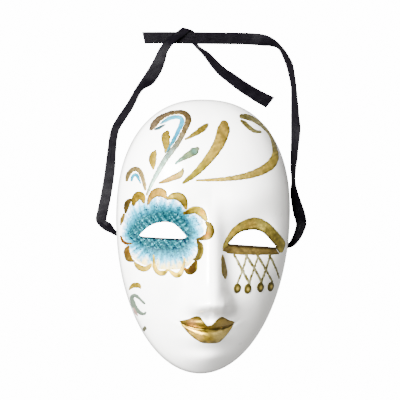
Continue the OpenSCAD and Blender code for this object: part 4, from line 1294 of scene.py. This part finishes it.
# Node, slot, material, colour or stops, and the path as x, y, width
STROKES = [
    ("swirl_large", "gold_paint", GOLD_PAINT, SWIRL_STOPS, [
        [-49.6, 91.8, 3.2], [-47, 95.8, 5.4], [-42.4, 101.2, 5], [-34, 105.8, 4.2],
        [-25.5, 107, 4.4], [-20.6, 105.2, 5.6], [-18.8, 100.4, 5.8], [-21.6, 92.5, 4.8],
        [-29.2, 78.5, 4.6], [-38.2, 66.4, 4.8], [-45, 54.3, 4], [-50.2, 43.7, 3], [-54, 34.5, 1.8],
    ]),
    ("swirl_large_hook", "gold_paint", GOLD_PAINT, (0.03, 0.06, 0.075), [
        [-46.4, 91.4, 2], [-43.6, 92.6, 2.8], [-40.8, 94.2, 2.2], [-38.4, 95.6, 1],
    ]),
    ("swirl_large_blue", "light_blue_paint", BLUE_PAINT, BLUE_STOPS, [
        [-41.8, 96.4, 1.2], [-38.4, 98.8, 3], [-32.8, 101.8, 3.8], [-26.8, 102.4, 3.8],
        [-24, 99.4, 4.2],
        [-26.6, 92.4, 3.8], [-32.2, 81.4, 3.2], [-36.2, 74.6, 2], [-38.6, 70.6, 1],
    ]),
    ("swirl_small", "gold_paint", GOLD_PAINT, (0.14, 0.1, 0.035), [
        [-69.4, 47, 2.4], [-68.4, 52, 3.6], [-65.2, 56, 4], [-60.8, 56.2, 4.2], [-57.8, 50.6, 3.6],
        [-56.2, 44.5, 3.2], [-55.2, 39, 2],
    ]),
    ("swirl_small_blue", "light_blue_paint", BLUE_PAINT, (0.001, 0.095, 0.15), [
        [-66, 46.6, 1.6], [-65, 50.4, 2.8], [-62.8, 51.8, 3], [-61, 49.4, 2.6], [-59, 44.5, 1.2],
    ]),
    ("teardrop_large", "gold_paint", GOLD_PAINT, (0.115, 0.078, 0.007), [
        [-38.8, 71.4, 2], [-38, 76, 5.2], [-38.4, 81.4, 7], [-38, 86, 7.2], [-36.8, 88.6, 4],
    ]),
    ("teardrop_small", "gold_paint", GOLD_PAINT, (0.115, 0.078, 0.007), [
        [-48.9, 57.2, 2.2], [-49.1, 61.4, 5.2], [-49.3, 66, 6.6], [-47.8, 70.4, 4.6], [-47, 72.4, 2],
    ]),
    ("leaf_top", "gold_paint", GOLD_PAINT, (0.12, 0.085, 0.01), [
        [-22, 82.8, 1.6], [-16.8, 85.8, 3.4], [-11, 89.6, 5], [-6.2, 93.2, 5.4], [-3, 96.2, 3],
    ]),
    ("leaf_middle", "gold_paint", GOLD_PAINT, LEAF_STOPS, [
        [-30.6, 61.6, 1.6], [-25.2, 65.8, 3.8], [-19, 69.6, 6.2], [-14.4, 72.8, 7], [-12.2, 74.6, 4],
    ]),
    ("leaf_bottom", "gold_paint", GOLD_PAINT, LOW_LEAF_STOPS, [
        [-43.6, 44.8, 2], [-38.3, 46.8, 3.8], [-33, 49.2, 5], [-28, 51.5, 5.6], [-25.2, 54.6, 4],
        [-24.4, 57.4, 1.4],
    ]),
    ("comma_stroke", "gold_paint", GOLD_PAINT, COMMA_STOPS, [
        [12, 96.8, 8], [11.2, 92.6, 11.6], [7.2, 81.4, 10.6], [1.8, 72.3, 9.2], [-3.5, 65.3, 8],
        [-9.5, 58.2, 6.8], [-15.4, 52.3, 5.4], [-21, 47.8, 4], [-24, 45.2, 2.4],
    ]),
    ("sweep_stroke", "gold_paint", GOLD_PAINT, SWEEP_STOPS, [
        [-13, 47.6, 1.6], [-1.8, 48.2, 2.8], [15.5, 49.9, 4.4], [33.2, 53.5, 6.4], [47.3, 59.3, 8.4],
        [55.4, 65.6, 9], [58.8, 72.4, 8], [58.6, 79, 6.2], [57.2, 86.6, 5.2], [54.4, 92.6, 5.4],
        [48.9, 98, 6], [41.5, 102.2, 6], [34.3, 104.6, 6.2], [28.6, 104.8, 4.8],
    ]),
    ("sweep_hook", "gold_paint", GOLD_PAINT, HOOK_STOPS, [
        [28, 100.8, 3], [31, 98.4, 5], [35.2, 94.6, 4.6], [40.2, 92, 3.6], [45.2, 92, 2.2],
    ]),
    ("cheek_crescent", "gold_paint", GOLD_PAINT, (0.32, 0.22, 0.016), [
        [-64.6, -47.8, 0.8], [-62.8, -44.6, 3.6], [-60, -43.2, 5], [-57.4, -44, 4], [-56.2, -45.8, 1],
    ]),
    ("cheek_scroll", "grey_green_paint", DULL_PAINT, (0.055, 0.075, 0.055), [
        [-52.3, -58.8, 1.8], [-57, -54.3, 2.6], [-60, -52.2, 3], [-62, -54, 3.2], [-61, -58.5, 3.6],
        [-58.5, -63.5, 3.6], [-54.8, -67.3, 3.2], [-52, -68, 2.6], [-50.8, -66.6, 1.6],
    ]),
    ("cheek_leaf", "rose_paint", DULL_PAINT, (0.16, 0.1, 0.085), [
        [-60, -62.4, 0.8], [-58.6, -66.4, 2], [-56.4, -70, 0.8],
    ]),
]
for node, slot, material, colour, path in STROKES:
    dull = material in (BLUE_PAINT, DULL_PAINT)
    make_stroke(node, path, slot, material, colour, edge_strength=0.0 if dull else 0.6)


DOT = [
    [-50.2, -83.2, 1.6], [-50.3, -82.2, 2.7], [-50.2, -81.2, 3.3], [-50.1, -80.2, 2.8],
    [-50.2, -79.2, 1.5],
]
make_stroke(
    "cheek_dot", DOT, "grey_green_paint", DULL_PAINT, (0.05, 0.05, 0.03), 0.3, edge_strength=0.0
)


# ---------------------------------------------------------------- pasted paper over the ribbons' ends


PATCH_NEAR, PATCH_FAR = 64.6, 69.6      # from the middle of the mask to the strip's two long edges
PATCH_HALF, PATCH_THICK = 9.0, 0.45


def make_patch(name, side, y, node, seed):
    """A torn strip of paper pasted over a ribbon's end, inside the temple."""
    rows, cols = 40, 14
    v = np.linspace(-1, 1, rows + 1)
    u = np.linspace(0, 1, cols + 1)
    near = PATCH_NEAR + 0.5 * ripple(v, 0.5, seed) + 0.25 * ripple(v, 0.16, seed + 1)
    far = PATCH_FAR + 0.4 * ripple(v, 0.5, seed + 2) + 0.25 * ripple(v, 0.16, seed + 3)
    x = side * mix(near[:, None], far[:, None], u[None])
    reach = PATCH_HALF + 0.6 * ripple(u, 0.5, seed + 4)
    yy = y + v[:, None] * reach[None]
    # it steps over the ribbon, and lies against the wall at its two ends
    over = ramp(0, 0.35, 0.82 - np.abs(v))[:, None] * 0.75 + 0.3
    over = over + 0.05 * ripple(v[:, None] * 9 + 4 * u, 2.2, seed + 5)
    sheets = [
        np.stack([x, yy, face(x, yy, WALL + over + depth)], -1).reshape(-1, 3)
        for depth in (0.0, PATCH_THICK)
    ]
    faces = coat_faces(rows + 1, cols)
    make_piece(name, np.vstack(sheets), faces, [PASTED], [node])


def pasted_look():
    """Plain strong paper, brushed over with paste."""
    look = Look("pasted_paper", Roughness=0.8, Specular_IOR_Level=0.25)
    where = look.coords()
    fibres = look.noise(look.coords("Object", (1, 0.3, 1), (0, 0, 0.4)), 1300, 5, 0.65)
    tone = look.ramp(fibres, (0.3, (0.58, 0.53, 0.43)), (0.7, (0.74, 0.7, 0.6)))
    height = look.sum(fibres, look.noise(where, 500, 3))
    return look.set(Base_Color=tone, Normal=look.bump(height, 0.15, 0.6))


PASTED = pasted_look()
make_patch("ribbon_patch_left_paper", -1, 1.0, "ribbon_patch_left", 91)
make_patch("ribbon_patch_right_paper", 1, -6.0, "ribbon_patch_right", 97)


# ---------------------------------------------------------------- floor and light


FLOOR_HALF, FLOOR_Z, FLOOR_GLOW = 6.0, -0.0003, 15.0    # in metres, and its brightness


def make_stage():
    """A plain white table that glows evenly, and neither lights the mask nor takes its shadow."""
    mesh = bpy.data.meshes.new("floor")
    signs = ((-1, -1), (1, -1), (1, 1), (-1, 1))
    mesh.from_pydata([(a * FLOOR_HALF, b * FLOOR_HALF, FLOOR_Z) for a, b in signs], [], [(0, 1, 2, 3)])
    floor = bpy.data.objects.new("floor", mesh)
    bpy.context.scene.collection.objects.link(floor)
    paper = bpy.data.materials.new("white_backdrop")
    paper.use_nodes = True
    tree = paper.node_tree
    tree.nodes.clear()
    glow = tree.nodes.new("ShaderNodeEmission")
    glow.inputs["Color"].default_value = (1, 1, 1, 1)
    glow.inputs["Strength"].default_value = FLOOR_GLOW
    out = tree.nodes.new("ShaderNodeOutputMaterial")
    tree.links.new(glow.outputs[0], out.inputs["Surface"])
    mesh.materials.append(paper)
    floor.visible_diffuse = False
    floor.visible_glossy = False
    floor.visible_shadow = False


def add_light(name, place, size, power):
    """A soft box that faces the mask."""
    data = bpy.data.lights.new(name, "AREA")
    data.shape = "RECTANGLE"
    data.size, data.size_y = size
    data.energy = power
    lamp = bpy.data.objects.new(name, data)
    lamp.location = place
    lamp.rotation_euler = (-Vector(place)).to_track_quat("-Z", "Y").to_euler()
    bpy.context.scene.collection.objects.link(lamp)


make_stage()
world = bpy.data.worlds.new("studio")
world.use_nodes = True
world.node_tree.nodes["Background"].inputs["Color"].default_value = (1, 0.99, 0.96, 1)
world.node_tree.nodes["Background"].inputs["Strength"].default_value = 0.75
bpy.context.scene.world = world
add_light("softbox_left", (-1.5, 0.6, 1.85), (1.3, 1.3), 840)
